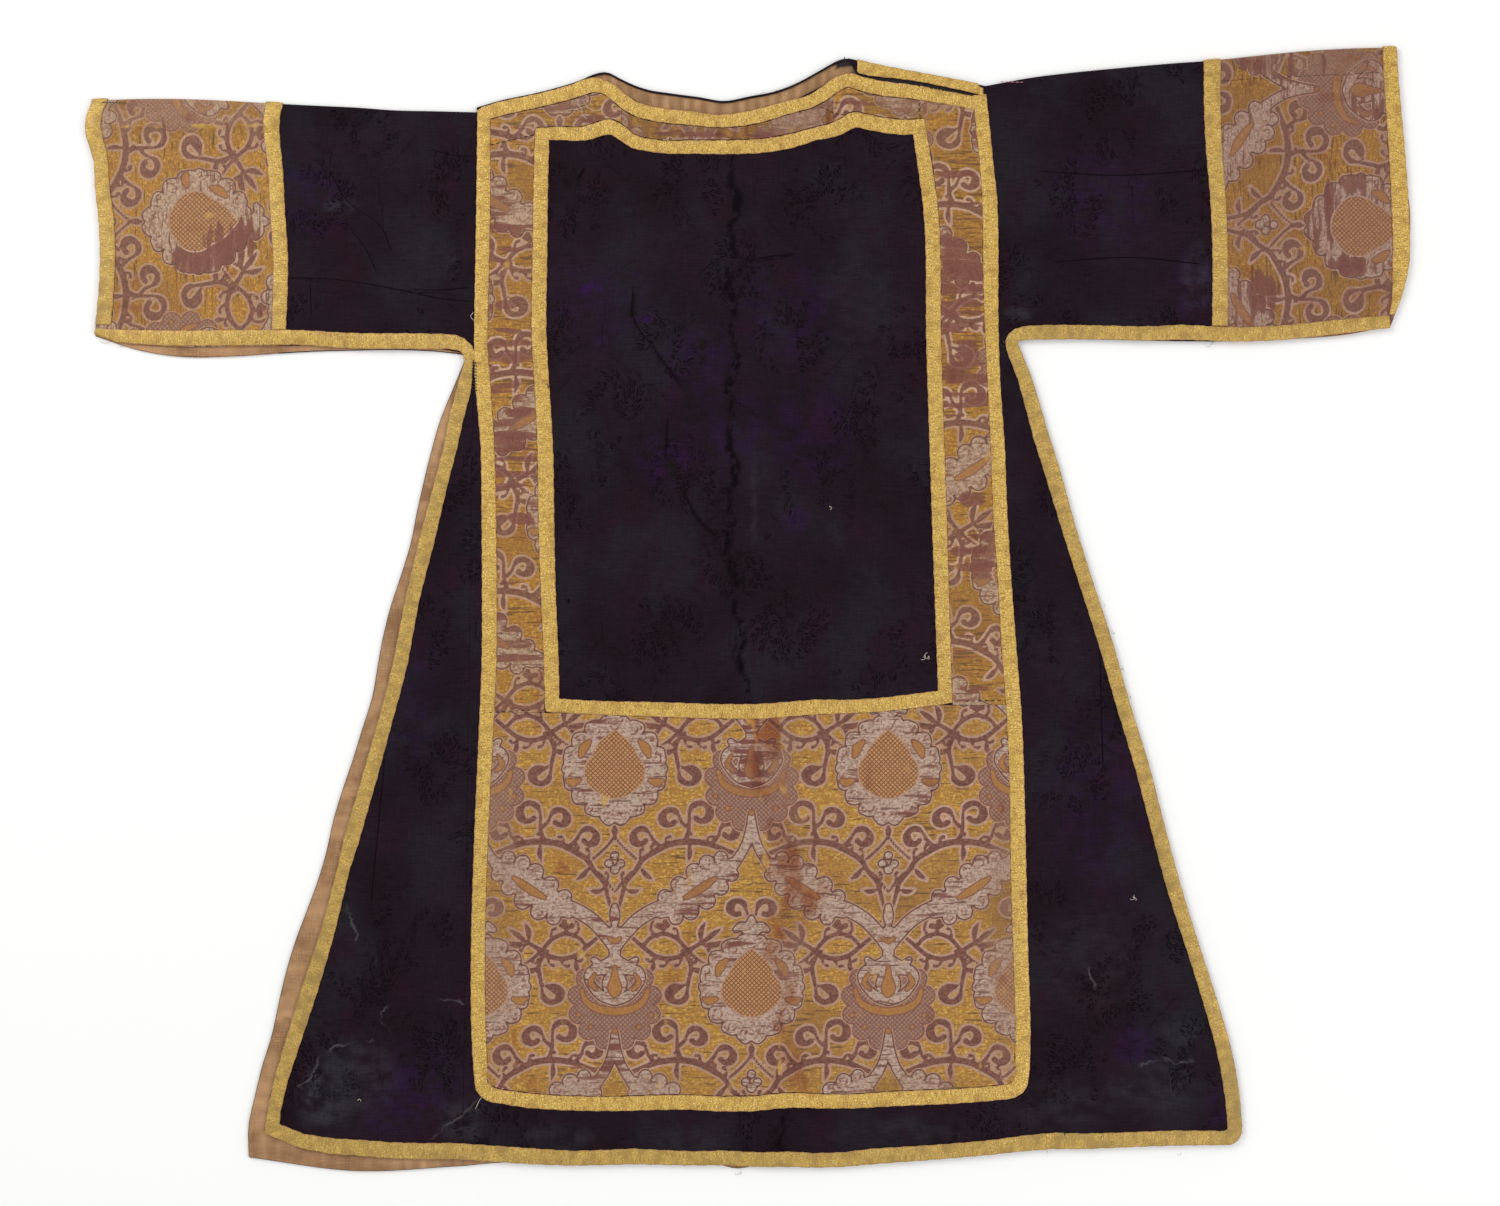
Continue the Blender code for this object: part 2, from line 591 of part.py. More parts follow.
def corner_of(side, foot):
    """Where a leg that runs down meets one that runs across."""
    down = foot.middle(side.middle(MIDDLE_DOWN))
    for _ in range(SETTLE):
        down = foot.middle(side.middle(down))
    return side.middle(down), down


def rounded(before, corner, after, width):
    """Points round a corner, between the two points where its curve starts and ends."""
    points = []
    for step in range(1, CORNER_STEPS):
        share = step / CORNER_STEPS
        weights = ((1 - share) ** 2, 2 * share * (1 - share), share ** 2)
        ends = (before, corner, after)
        points.append((sum(w * end[0] for w, end in zip(weights, ends)),
                       sum(w * end[1] for w, end in zip(weights, ends)), width))
    return points


def three_sided(name, tops, radii, step):
    """The middle line of a braid that goes down, across and up again, with its corners."""
    left, foot, right = (LEGS[name + side] for side in ("_left", "_foot", "_right"))
    low_left, low_right = corner_of(left, foot), corner_of(right, foot)
    crease = smooth(CREASE)(low_left[1])
    fine = (Fine(crease - CREASE_BAND, crease + CREASE_BAND, CREASE_STEP),)
    down = leg_points(left, tops.left, low_left[1] - radii[0], step)
    over = leg_points(foot, low_left[0] + radii[0], low_right[0] - radii[1], step, fine)
    up = leg_points(right, low_right[1] - radii[1], tops.right, step)
    width = foot.width(crease)
    if radii[0] > 0:
        first = rounded(down[-1], low_left, over[0], width)
    else:
        down, first = down[:-1], []
    if radii[1] > 0:
        second = rounded(over[-1], low_right, up[0], width)
    else:
        over, second = over[:-1], []
    return down + first + over + second + up


def ribbon(name, points):
    """A braid laid along points on the front's cloth, with mitred turns."""
    edges = []
    for index, (across, down, width) in enumerate(points):
        before, after = points[max(index - 1, 0)], points[min(index + 1, len(points) - 1)]
        turns = []
        for first, second in ((before, points[index]), (points[index], after)):
            run = (second[0] - first[0], second[1] - first[1])
            length = math.hypot(*run)
            if length > 0:
                turns.append((-run[1] / length, run[0] / length))
        normal = (sum(turn[0] for turn in turns), sum(turn[1] for turn in turns))
        length = math.hypot(*normal)
        normal = (normal[0] / length, normal[1] / length)
        mitre = 1 / (normal[0] * turns[0][0] + normal[1] * turns[0][1])
        reach = width / 2 * mitre
        edges.append([(across + side * reach * normal[0], down + side * reach * normal[1])
                      for side in (-1, 1)])

    def place(column, row):
        across, down = edges[row][column]
        return across, down, raised_height(across, down)

    return wall(name, "braid", 2, len(points), place, BRAID, True)


def wrapped_braid(kind, side, folded):
    """A braid up the front of a sleeve and over its fold."""
    leg, lower_end = LEGS[f"{kind}_{side}"], LOWER_ENDS[f"{kind}_{side}"]
    turn = folded.fold(leg.middle(lower_end)) + TURN_RADIUS
    downs = spaced(lower_end, turn, BRAID_STEP)[:-1]

    def place(column, row):
        side = 2 * column - 1
        where = downs[row] if row < len(downs) else turn
        across = leg.edge(side)(where)
        if row < len(downs):
            return across, where, raised_height(across, where)
        return folded.point(across, Station("turn", BRAID_TURN_ANGLES[row - len(downs)]), GAP)

    rows = len(downs) + len(BRAID_TURN_ANGLES)
    return wall(f"{kind}_braid_{side}", "braid", 2, rows, place, BRAID, True)


def strip(name, top, bottom, stations):
    """A strip of brocade between two level edges, cut straight down at both ends."""
    shares = (0.0, 0.5, 1.0)

    def place(column, row):
        across = stations[column]
        low, high = bottom(across), top(across)
        down = low + (high - low) * shares[row]
        return across, down, raised_height(across, down)

    return wall(name, "brocade", len(stations), len(shares), place, BROCADE, True)


def make_back():
    """The back's cloth and lining: a panel and two side gores each, lining upwards."""
    seam_left, seam_right = smooth(SEAM_LEFT), smooth(SEAM_RIGHT)
    lining_left, lining_foot = smooth(LINING_LEFT), straight(LINING_FOOT)
    lining_right = moved(LEGS["hem_right"].edge(1), -BACK_INSET)
    cloth_foot = moved(lining_foot, LINING_MARGIN)
    top, flap = smooth(BACK_TOP), straight(BACK_TOP, 2)
    folded = FoldedWall(top, lambda across: top(across) + flap(across), cloth_foot)
    low, high = seam_left(BACK_TOP[0].down), seam_right(BACK_TOP[-1].down)
    places = spaced(low, high, BACK_STEP, BACK_FINE)
    shares = [(place - low) / (high - low) for place in places]
    folded_sheet("back_panel", "damask", folded, moved(seam_left, SEAM), moved(seam_right, -SEAM),
                 shares, wall_stations((0.0, 1.0), even(BACK_ROWS)))
    lining_top = moved(top, LINING_FROM_FOLD)
    panel("back_lining", "lining", (moved(seam_left, SEAM), moved(seam_right, -SEAM), lining_top,
          lining_foot), shares, even(BACK_ROWS), level_height(LINING_TOP), LINING)
    layers = (("back_gore", "damask", LINING_MARGIN, CLOTH, CLOTH),
              ("gore_lining", "lining", 0.0, LINING_TOP, LINING))
    for name, finish, margin, height, thickness in layers:
        foot = moved(lining_foot, margin)
        left = (moved(lining_left, -margin), moved(seam_left, -SEAM), level(BACK_GORE_TOPS.left), foot)
        right = (moved(seam_right, SEAM), moved(lining_right, margin), level(BACK_GORE_TOPS.right), foot)
        for side, edges in (("_left", left), ("_right", right)):
            plain_panel(name + side, finish, edges, level_height(height), thickness)
    return folded


def make_front():
    """The front's panel and side gores."""
    seam_left, seam_right = smooth(SEAM_LEFT), smooth(SEAM_RIGHT)
    top, foot = LEGS["neck"].edge(-1), LEGS["hem_foot"].edge(1)
    panel_edges = (moved(seam_left, SEAM), moved(seam_right, -SEAM), top, foot)
    columns = crease_columns(FRONT_SHARES_LEFT, FRONT_SHARES_RIGHT)
    creased_panel("front_panel", "damask", panel_edges, columns, even(FRONT_ROWS), front_height, CLOTH)
    left = (LEGS["hem_left"].edge(-1), moved(seam_left, -SEAM), level(FRONT_GORE_TOPS.left), foot)
    plain_panel("front_gore_left", "damask", left, front_height, CLOTH)
    right = (moved(seam_right, SEAM), LEGS["hem_right"].edge(1), level(FRONT_GORE_TOPS.right), foot)
    plain_panel("front_gore_right", "damask", right, front_height, CLOTH)


def make_sleeve(side, folded, seam, band, cuff_edge, lining_edge, lining_end):
    """One sleeve, its cuff and its lining, from the body's seam out to the cuff's edge."""
    parts = (("sleeve_" + side, "damask", seam, band), ("cuff_" + side, "brocade", band, cuff_edge))
    for name, finish, inner, outer in parts:
        edges = (outer, inner) if side == "left" else (inner, outer)
        stations = wall_stations(even(GRIDS[name].rows), even(SLEEVE_BACK_ROWS))
        folded_sheet(name, finish, folded, moved(edges[0], SEAM), moved(edges[1], -SEAM),
                     even(GRIDS[name].columns), stations)
    edges = (lining_edge, seam) if side == "left" else (seam, lining_edge)
    top = moved(folded.fold, LINING_FROM_FOLD)
    lining = (moved(edges[0], SEAM), moved(edges[1], -SEAM), top, lining_end)
    plain_panel("sleeve_lining_" + side, "lining", lining, level_height(LINING_TOP), LINING)


def make_sleeves():
    """Both sleeves with the braids that go over their folds."""
    lining_end = smooth(LINING_LOWER_LEFT)
    left = FoldedWall(smooth(FOLD_LEFT), smooth(LOWER_LEFT), moved(lining_end, LINING_MARGIN))
    cuff_left = LEGS["cuff_left"].edge(-1)
    make_sleeve("left", left, smooth(SEAM_LEFT), LEGS["band_left"].middle, cuff_left,
                moved(cuff_left, LINING_MARGIN), lining_end)
    lower = smooth(LOWER_RIGHT)
    right = FoldedWall(smooth(FOLD_RIGHT), lower, moved(lower, -RIGHT_BACK_INSET))
    cuff_right, shows = LEGS["cuff_right"].edge(1), smooth(LINING_SHOWS_RIGHT)
    make_sleeve("right", right, smooth(SEAM_RIGHT), LEGS["band_right"].middle, cuff_right,
                lambda down: cuff_right(down) + shows(down), moved(lower, -RIGHT_LINING_INSET))
    for side, folded in (("left", left), ("right", right)):
        for kind in ("cuff", "band"):
            wrapped_braid(kind, side, folded)


def make_brocades():
    """The brocade laid on the front: the foot, two columns and three pieces round the neck."""
    outer = {side: LEGS["orphrey_" + side] for side in ("left", "right", "foot")}
    inner = {side: LEGS["panel_" + side] for side in ("left", "right", "foot", "top")}
    left_edge, right_edge = outer["left"].edge(1, GAP), outer["right"].edge(-1, GAP)
    panel_foot, orphrey_foot = inner["foot"].edge(1, GAP), outer["foot"].edge(-1, TIGHT_GAP)

    def foot_top(across):
        seam = SEAM_COLUMN_LEFT if across < MIDDLE_ACROSS else SEAM_COLUMN_RIGHT
        return max(seam + SEAM, panel_foot(across))

    def foot_bottom(across):
        down = orphrey_foot(across)
        inside = min(across - left_edge(down), right_edge(down) - across)
        return down - CORNER_CUT * max(0.0, 1 - inside / CORNER_CUT)

    foot_edges = (left_edge, right_edge, foot_top, foot_bottom)
    columns = crease_columns(FOOT_SHARES, FOOT_SHARES[::-1])
    creased_panel("brocade_foot", "brocade", foot_edges, columns, even(FOOT_ROWS), raised_height,
                  BROCADE, True)
    left = (left_edge, inner["left"].edge(-1, GAP), moved(smooth(SEAM_SHOULDER_LEFT), SEAM),
            level(SEAM_COLUMN_LEFT - SEAM))
    plain_panel("brocade_column_left", "brocade", left, raised_height, BROCADE, True)
    right = (inner["right"].edge(1, GAP), right_edge, LEGS["neck"].edge(1, GAP),
             level(SEAM_COLUMN_RIGHT - SEAM))
    plain_panel("brocade_column_right", "brocade", right, raised_height, BROCADE, True)

    neck_edge, panel_edge = LEGS["neck"].edge(1, TIGHT_GAP), inner["top"].edge(-1, TIGHT_GAP)
    seam_left = moved(smooth(SEAM_SHOULDER_LEFT), -SEAM)
    corner = PANEL_TOP[0].across - GAP

    def band_foot(across):
        return seam_left(across) if across <= corner else panel_edge(across)

    stations = (spaced(left_edge(SHOULDER_DOWN), corner, BRAID_STEP)
                + spaced(corner + STEP_IN, SEAM_NECK_LEFT - SEAM, STRIP_STEP, NECK_FINE))
    strip("brocade_shoulder_left", neck_edge, band_foot, stations)
    strip("brocade_neck_band", neck_edge, panel_edge,
          spaced(SEAM_NECK_LEFT + SEAM, SEAM_NECK_RIGHT - SEAM, STRIP_STEP, NECK_FINE))
    strip("brocade_shoulder_right", neck_edge, panel_edge,
          spaced(SEAM_NECK_RIGHT + SEAM, SEAM_SHOULDER_RIGHT - SEAM, STRIP_STEP, NECK_FINE))


def make_braids(back):
    """The braids that lie flat on the front, and the one on the back's turned shoulder."""
    ribbon("orphrey_braid", three_sided("orphrey", ORPHREY_TOPS, ORPHREY_CORNERS, LONG_STEP))
    ribbon("panel_braid", three_sided("panel", PANEL_TOPS, PANEL_CORNERS, LONG_STEP))
    ribbon("hem_braid", three_sided("hem", HEM_TOPS, HEM_CORNERS, HEM_STEP))
    ribbon("panel_braid_top", leg_points(LEGS["panel_top"], *PANEL_TOP_RUN, BRAID_STEP, NECK_FINE))
    ribbon("neck_braid", leg_points(LEGS["neck"], *NECK_RUN, BRAID_STEP, NECK_FINE))
    ribbon("sleeve_hem_braid_left", leg_points(LEGS["sleeve_left"], *SLEEVE_LEFT_RUN, SLEEVE_STEP))
    ribbon("sleeve_hem_braid_right", leg_points(LEGS["sleeve_right"], *SLEEVE_RIGHT_RUN, SLEEVE_STEP))
    stations = spaced(*SHOULDER_RUN, SHOULDER_STEP)
    shoulder = (Station("front", SHOULDER_FOLD_SHARE), Station("turn", 90), Station("turn", 45),
                Station("turn", 0))
    wall("shoulder_braid_back", "braid", len(stations), len(shoulder),
         lambda column, row: back.point(stations[column], shoulder[row], GAP), BRAID, True)


def main():
    """Build every piece into one collection."""
    clear_scene()
    bpy.context.scene.collection.children.link(bpy.data.collections.new("dalmatic"))
    back = make_back()
    make_front()
    make_sleeves()
    make_brocades()
    make_braids(back)


main()
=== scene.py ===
"""A dalmatic laid out flat with its front upwards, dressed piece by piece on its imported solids.

Dark silk damask carries apparels, cuffs and a foot panel of figured brocade, all bound in gold
galloon.  Sizes are in millimetres on the garment's cutting sheet, on which "across" runs right
and "down" runs from the neck to the hem.  Every piece takes its outline from its own solid.
"""
from __future__ import annotations

import logging
import math
from dataclasses import dataclass
from enum import Enum
from functools import partial
from typing import Callable, ClassVar, Sequence

import bmesh
import bpy
import numpy as np
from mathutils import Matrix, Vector


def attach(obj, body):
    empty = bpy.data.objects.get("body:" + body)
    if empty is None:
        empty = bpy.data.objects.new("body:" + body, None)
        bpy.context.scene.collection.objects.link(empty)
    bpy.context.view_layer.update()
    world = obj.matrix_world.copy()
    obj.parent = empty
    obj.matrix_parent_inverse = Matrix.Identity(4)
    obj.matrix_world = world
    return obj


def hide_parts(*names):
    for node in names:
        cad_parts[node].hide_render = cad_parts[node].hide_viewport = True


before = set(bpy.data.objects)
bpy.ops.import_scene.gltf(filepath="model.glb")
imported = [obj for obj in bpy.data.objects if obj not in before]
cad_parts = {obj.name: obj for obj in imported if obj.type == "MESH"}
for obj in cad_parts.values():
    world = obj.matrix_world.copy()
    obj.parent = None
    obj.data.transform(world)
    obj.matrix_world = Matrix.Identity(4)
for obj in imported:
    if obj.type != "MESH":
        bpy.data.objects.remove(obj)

Array = np.ndarray
Curve = Callable[[Array], Array]
Object = bpy.types.Object
LOG = logging.getLogger("dalmatic")

MILLIMETRE = 0.001
MIDDLE_ACROSS = 747.67  # the cutting sheet's point over the frame's origin
MIDDLE_DOWN = 608.6
CLOTH = 1.4  # damask with its interlining
LINING = 1.0
BROCADE = 1.0
BRAID = 1.2
GAP = 0.3
LINING_TOP = CLOTH + GAP + LINING
FRONT_TOP = LINING_TOP + GAP + CLOTH
RAISED = FRONT_TOP + GAP  # the underside of what is sewn on the front
TURN_RADIUS = FRONT_TOP / 2
ON_FRONT = FRONT_TOP + 0.2  # the heights where threads lie
ON_FOLD = FRONT_TOP - 0.2
ON_BROCADE = RAISED + BROCADE + 0.05
ON_BRAID = RAISED + BRAID + 0.1
LOWEST_DIP = -0.2  # a trough in the front stays clear of the lining under it
SETTLE = 10  # rounds that settle where two curves cross
FAR = 99.0  # further than any distance that matters here
SMOOTH_ANGLE = math.radians(50)  # sharper edges stay crisp


def to_metres(across: Array, down: Array, height: Array) -> Array:
    """Points of the cutting sheet in the frame's metres, along a last axis of three."""
    points = np.stack(np.broadcast_arrays(across - MIDDLE_ACROSS, MIDDLE_DOWN - down, height), -1)
    return points * MILLIMETRE


def eased(share: Array) -> Array:
    """A soft step from 0 to 1."""
    share = np.clip(share, 0.0, 1.0)
    return share * share * (3.0 - 2.0 * share)


@dataclass(frozen=True)
class Edge:
    """One side of a piece as a curve, which goes on straight past both its ends."""

    place: Array
    value: Array
    soft: bool = True

    def __call__(self, where: Array) -> Array:
        """The curve's value.

        Args:
            where: places along the side.
        Returns:
            The value at each place.
        """
        where = np.asarray(where, dtype=float)
        place, value = self.place, self.value
        index = np.clip(np.searchsorted(place, where, side="right") - 1, 0, len(place) - 2)
        span = place[index + 1] - place[index]
        share = (where - place[index]) / span
        step = value[index + 1] - value[index]
        if not self.soft:
            return value[index] + step * share
        slope = np.gradient(value, place)
        inside = np.clip(share, 0.0, 1.0)
        rise = slope[index] * inside * (1 - inside) ** 2 - slope[index + 1] * inside ** 2 * (1 - inside)
        past = where - np.clip(where, place[0], place[-1])
        ends = np.where(past < 0, slope[0], slope[-1])
        return value[index] + step * eased(inside) + rise * span + past * ends

    def moved(self, by: float) -> Edge:
        """The same curve, moved by a distance."""
        return Edge(self.place, self.value + by, self.soft)


def edge_through(rows: Sequence[tuple[float, float]], soft: bool = True) -> Edge:
    """A curve through a short table of places and values."""
    table = np.array(rows, dtype=float)
    return Edge(table[:, 0], table[:, 1], soft)


def solid_copy(node: str) -> bmesh.types.BMesh:
    """A welded copy of a solid's mesh, for reading its outline.

    Args:
        node: the solid's name.
    Returns:
        The copy, which the caller frees.
    """
    copy = bmesh.new()
    copy.from_mesh(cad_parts[node].data)
    bmesh.ops.remove_doubles(copy, verts=copy.verts, dist=1e-6)
    return copy


def on_sheet(point: Sequence[float]) -> tuple[float, float, float]:
    """A frame point in metres as across, down and height on the cutting sheet."""
    return (point[0] / MILLIMETRE + MIDDLE_ACROSS, MIDDLE_DOWN - point[1] / MILLIMETRE,
            point[2] / MILLIMETRE)


class Skin:
    """What faces up on a solid between two heights, as its rim in order."""

    FACES_UP = 0.6

    def __init__(self, node: str, low: float = -1.0, high: float = FAR, soft: bool = True) -> None:
        """Read the rim.

        Args:
            node: the solid's name.
            low: the least height of a face that counts.
            high: the greatest height of a face that counts.
            soft: whether its sides are smooth curves.
        """
        copy = solid_copy(node)
        faces = {face for face in copy.faces if face.normal.z > self.FACES_UP
                 and low < face.calc_center_median().z / MILLIMETRE < high}
        rim = [edge for edge in copy.edges if sum(face in faces for face in edge.link_faces) == 1]
        ties: dict[int, list[int]] = {}
        for edge in rim:
            first, second = (vertex.index for vertex in edge.verts)
            ties.setdefault(first, []).append(second)
            ties.setdefault(second, []).append(first)
        copy.verts.ensure_lookup_table()
        loops, left = [], set(ties)
        while left:
            loop = [left.pop()]
            while True:
                ahead = [index for index in ties[loop[-1]] if index in left]
                if not ahead:
                    break
                left.discard(ahead[0])
                loop.append(ahead[0])
            loops.append(loop)
        longest = max(loops, key=len)
        self.rim = np.array([on_sheet(copy.verts[index].co) for index in longest])
        self.soft = soft
        copy.free()
        self.sides = self._split()

    def _split(self) -> dict[str, Edge]:
        """The rim's four sides, parted at the corners that lie furthest out.

        Returns:
            A curve for each side, by its name.
        """
        plus, minus = self.rim[:, 0] + self.rim[:, 1], self.rim[:, 0] - self.rim[:, 1]
        rim = np.roll(self.rim, -int(plus.argmin()), axis=0)
        order = [int(np.nonzero((rim == self.rim[index]).all(1))[0][0])
                 for index in (minus.argmax(), plus.argmax(), minus.argmin())]
        if order[0] > order[2]:
            rim = np.roll(rim[::-1], 1, axis=0)
            order = [len(rim) - index for index in order]
        closed = np.vstack([rim, rim[:1]])
        marks = [0, *order, len(rim)]
        chains = [closed[start:end + 1] for start, end in zip(marks, marks[1:])]
        return {name: self._edge(chain, axis)
                for name, chain, axis in zip(("top", "right", "bottom", "left"), chains, (0, 1, 0, 1))}

    def _edge(self, chain: Array, axis: int) -> Edge:
        """One side as a curve along its own axis: 0 is across and 1 is down."""
        place, kept = np.unique(np.round(chain[:, axis], 3), return_index=True)
        return Edge(place, chain[kept, 1 - axis], self.soft)

    def pairs(self) -> Array:
        """A ribbon's rim as facing pairs.

        Returns:
            An array of rows, two edges, and across, down and height.
        """
        half = len(self.rim) // 2
        rims = [self.rim] if len(self.rim) % 2 == 0 else \
            [np.delete(self.rim, extra, axis=0) for extra in range(len(self.rim))]
        turned = [np.roll(rim, -start, axis=0) for rim in rims for start in range(half)]
        both = [np.stack([rim[:half], rim[half:][::-1]], axis=1) for rim in turned]
        return min(both, key=lambda rows: float(np.linalg.norm(rows[:, 0] - rows[:, 1], axis=1).sum()))


def fold_line(node: str) -> Edge:
    """The outermost line of a solid's fold, along the top of the arm or the shoulder.

    Args:
        node: the solid's name.
    Returns:
        How far down the fold lies, across it.
    """
    close, beside, facing_out = 0.02, 1.0, 0.5
    copy = solid_copy(node)
    points = sorted({on_sheet(vertex.co)[:2] for vertex in copy.verts
                     if abs(vertex.co.z / MILLIMETRE - TURN_RADIUS) < close
                     and any(face.normal.y > facing_out for face in vertex.link_faces)})
    copy.free()
    return edge_through([point for point in points if not any(
        abs(other[0] - point[0]) < beside and other[1] < point[1] for other in points)])


def spaced(start: float, end: float, step: float, fine: Sequence[tuple[float, float, float]] = ()) -> Array:
    """Places from start to end.

    Args:
        start: the first place.
        end: the last place.
        step: the usual distance between places.
        fine: spans with a start, an end and a closer step.
    Returns:
        The places, evened out in each span.
    """
    marks = sorted({start, end, *(mark for span in fine for mark in span[:2] if start < mark < end)})
    places = [np.array([start])]
    for low, high in zip(marks, marks[1:]):
        middle = (low + high) / 2
        stride = min([step] + [span[2] for span in fine if span[0] < middle < span[1]])
        count = max(1, round((high - low) / stride))
        places.append(np.linspace(low, high, count + 1)[1:])
    return np.concatenate(places)


def settled(left: Curve, right: Curve, share: Array, down_at: Curve) -> Array:
    """Where lines that keep their share of the way across meet a level curve.

    Args:
        left: the left edge.
        right: the right edge.
        share: each line's share of the way from left to right.
        down_at: the level curve.
    Returns:
        How far across each line meets it.
    """
    across = left(np.full_like(share, MIDDLE_DOWN))
    for _ in range(SETTLE):
        down = down_at(across)
        across = left(down) + (right(down) - left(down)) * share
    return across


# ------ creases

@dataclass(frozen=True)
class Crease:
    """A soft ridge, or a trough if its height is negative, along a path on the sheet."""

    runs_down: bool
    path: tuple[tuple[float, float], ...]  # along, and where it lies to the side
    width: float
    height: float
    start: float  # along it, where it begins and ends
    end: float
    fade: float  # how far it takes to rise to its full strength

    def beside(self, across: Array, down: Array) -> tuple[Array, Array]:
        """How far points lie beside it.

        Args:
            across: the points across.
            down: the points down.
        Returns:
            The distances, with a sign for the side, and how strong it is there.
        """
        along, off = (down, across) if self.runs_down else (across, down)
        ends = eased((along - self.start) / self.fade) * eased((self.end - along) / self.fade)
        return off - edge_through(self.path)(along), ends

    def lift(self, across: Array, down: Array) -> Array:
        """How far it lifts the cloth at points of the sheet."""
        off, ends = self.beside(across, down)
        return self.height * ends * (
            0.5 + 0.5 * np.cos(math.pi * np.clip(np.abs(off) / (self.width / 2), 0, 1)))


CENTRE = ((100, 735), (400, 734), (620, 738), (700, 752), (760, 766), (900, 775), (1100, 784),
          (1175, 780))
# The creases' columns are their class's fields.
MAIN_CREASES = tuple(Crease(*row) for row in (
    (True, CENTRE, 60, 2.0, 60, 1230, 160),
    (False, ((80, 128), (300, 127)), 50, 1.2, 20, 300, 60),
    (False, ((262, 276), (380, 290), (474, 300)), 40, 1.0, 262, 474, 50),
))
FINE_CREASES = tuple(Crease(*row) for row in (
    (True, ((290, 633), (320, 634), (350, 655), (385, 680)), 9, 0.55, 285, 390, 25),
    (False, ((745, 262), (770, 257), (795, 254)), 7, 0.4, 745, 795, 15),
    (True, ((700, 756), (900, 771), (1100, 779)), 13, 1.1, 690, 1120, 60),
    (True, ((700, 768), (900, 789), (1100, 796)), 10, 0.4, 730, 1060, 60),
    (True, ((150, 727), (420, 727), (700, 742)), 8, -0.3, 150, 690, 90),
    (False, ((90, 127), (290, 126)), 12, 0.8, 85, 290, 25),
    (False, ((90, 145), (290, 144)), 9, 0.35, 100, 270, 40),
    (False, ((262, 273), (380, 287), (474, 297)), 6, 0.6, 280, 474, 25),
    (False, ((262, 281), (380, 295), (474, 306)), 6, 0.5, 300, 474, 40),
    (False, ((300, 232), (470, 247)), 14, -0.3, 300, 474, 40),
    (True, ((380, 1130), (700, 1128), (1100, 1122)), 16, 0.4, 420, 900, 120),
    (True, ((500, 380), (800, 372), (1100, 366)), 18, 0.45, 520, 1080, 140),
    (False, ((1030, 170), (1200, 176)), 16, 0.35, 1030, 1205, 50),
    (False, ((1040, 268), (1200, 258)), 12, -0.3, 1035, 1205, 50),
    (False, ((490, 905), (760, 899), (1010, 908)), 14, 0.3, 490, 1010, 80),
    (False, ((560, 430), (740, 437), (930, 428)), 16, 0.3, 556, 930, 70),
))
# Creases set into the cloth: shallow troughs, along which the damask also gets painted shade.
PRESSED = tuple(Crease(runs_down, path, 4, -0.2, start, end, 8) for runs_down, path, start, end in (
    (False, ((293, 278.7), (337, 280), (377, 286), (410, 292.5), (440, 299), (472, 302)), 286, 474),
    (False, ((405, 289), (437, 290.5), (472, 288)), 412, 474),
    (True, ((280, 311), (317, 312)), 280, 320), (False, ((432, 150), (455, 156), (472, 157)), 430, 476),
    (True, ((170, 330), (205, 352), (225, 380), (247, 390)), 165, 255),
    (True, ((230, 352), (250, 367), (272, 377)), 228, 276),
    (True, ((290, 633), (320, 634), (350, 655), (385, 680)), 285, 392),
    (True, ((420, 668), (460, 665)), 415, 462), (True, ((487, 683), (515, 695), (541, 720)), 484, 546),
    (False, ((745, 262), (770, 257), (795, 255)), 742, 798),
    (False, ((1040, 172), (1120, 176), (1200, 171)), 1035, 1204),
    (False, ((1060, 262), (1130, 258), (1195, 264)), 1050, 1204),
    (True, ((880, 1000), (960, 1012)), 878, 968), (True, ((610, 1098), (760, 1102)), 600, 770),
    (True, ((760, 385), (900, 372)), 755, 905)))
TIDES = tuple(Crease(runs_down, path, 4, 0.0, start, end, 6) for runs_down, path, start, end in (
    (True, ((1058, 319), (1072, 314), (1080, 308), (1086, 300), (1090, 309), (1098, 311), (1106, 314),
            (1118, 312), (1130, 311)), 1052, 1134),
    (False, ((300, 1087), (315, 1068), (330, 1050), (345, 1044), (360, 1041), (372, 1039)), 312, 376),
    (True, ((998, 399), (1009, 384), (1018, 380), (1027, 389), (1038, 394)), 994, 1042),
    (False, ((430, 996), (446, 998), (464, 1003)), 426, 468),
    (False, ((432, 1138), (448, 1124), (460, 1117), (478, 1099)), 430, 480),
    (True, ((880, 352), (905, 347), (930, 356), (962, 350)), 876, 966),
    (False, ((1140, 1064), (1160, 1058), (1176, 1062), (1196, 1056)), 1136, 1200),
    (True, ((930, 1092), (960, 1086), (985, 1094)), 926, 990)))
WAVES = tuple((0.05 + 0.03 * (index % 3), 0.011 + 0.0047 * index, 1.9 * index, 2.4 * index + 0.7)
              for index in range(7))


def lift(across: Array, down: Array) -> Array:
    """How far the front and all that is sewn on it rises over flat cloth.

    Args:
        across: the points across.
        down: the points down.
    Returns:
        The height at each point.
    """
    across, down = np.broadcast_arrays(np.asarray(across, float), np.asarray(down, float))
    rise = sum(crease.lift(across, down) for crease in MAIN_CREASES + FINE_CREASES)
    for height, pitch, lean, phase in WAVES:
        along = across * math.cos(lean) + down * math.sin(lean)
        rise = rise + height * np.sin(along * pitch * 2 + phase)
    return np.maximum(rise, LOWEST_DIP)


# ------ meshes

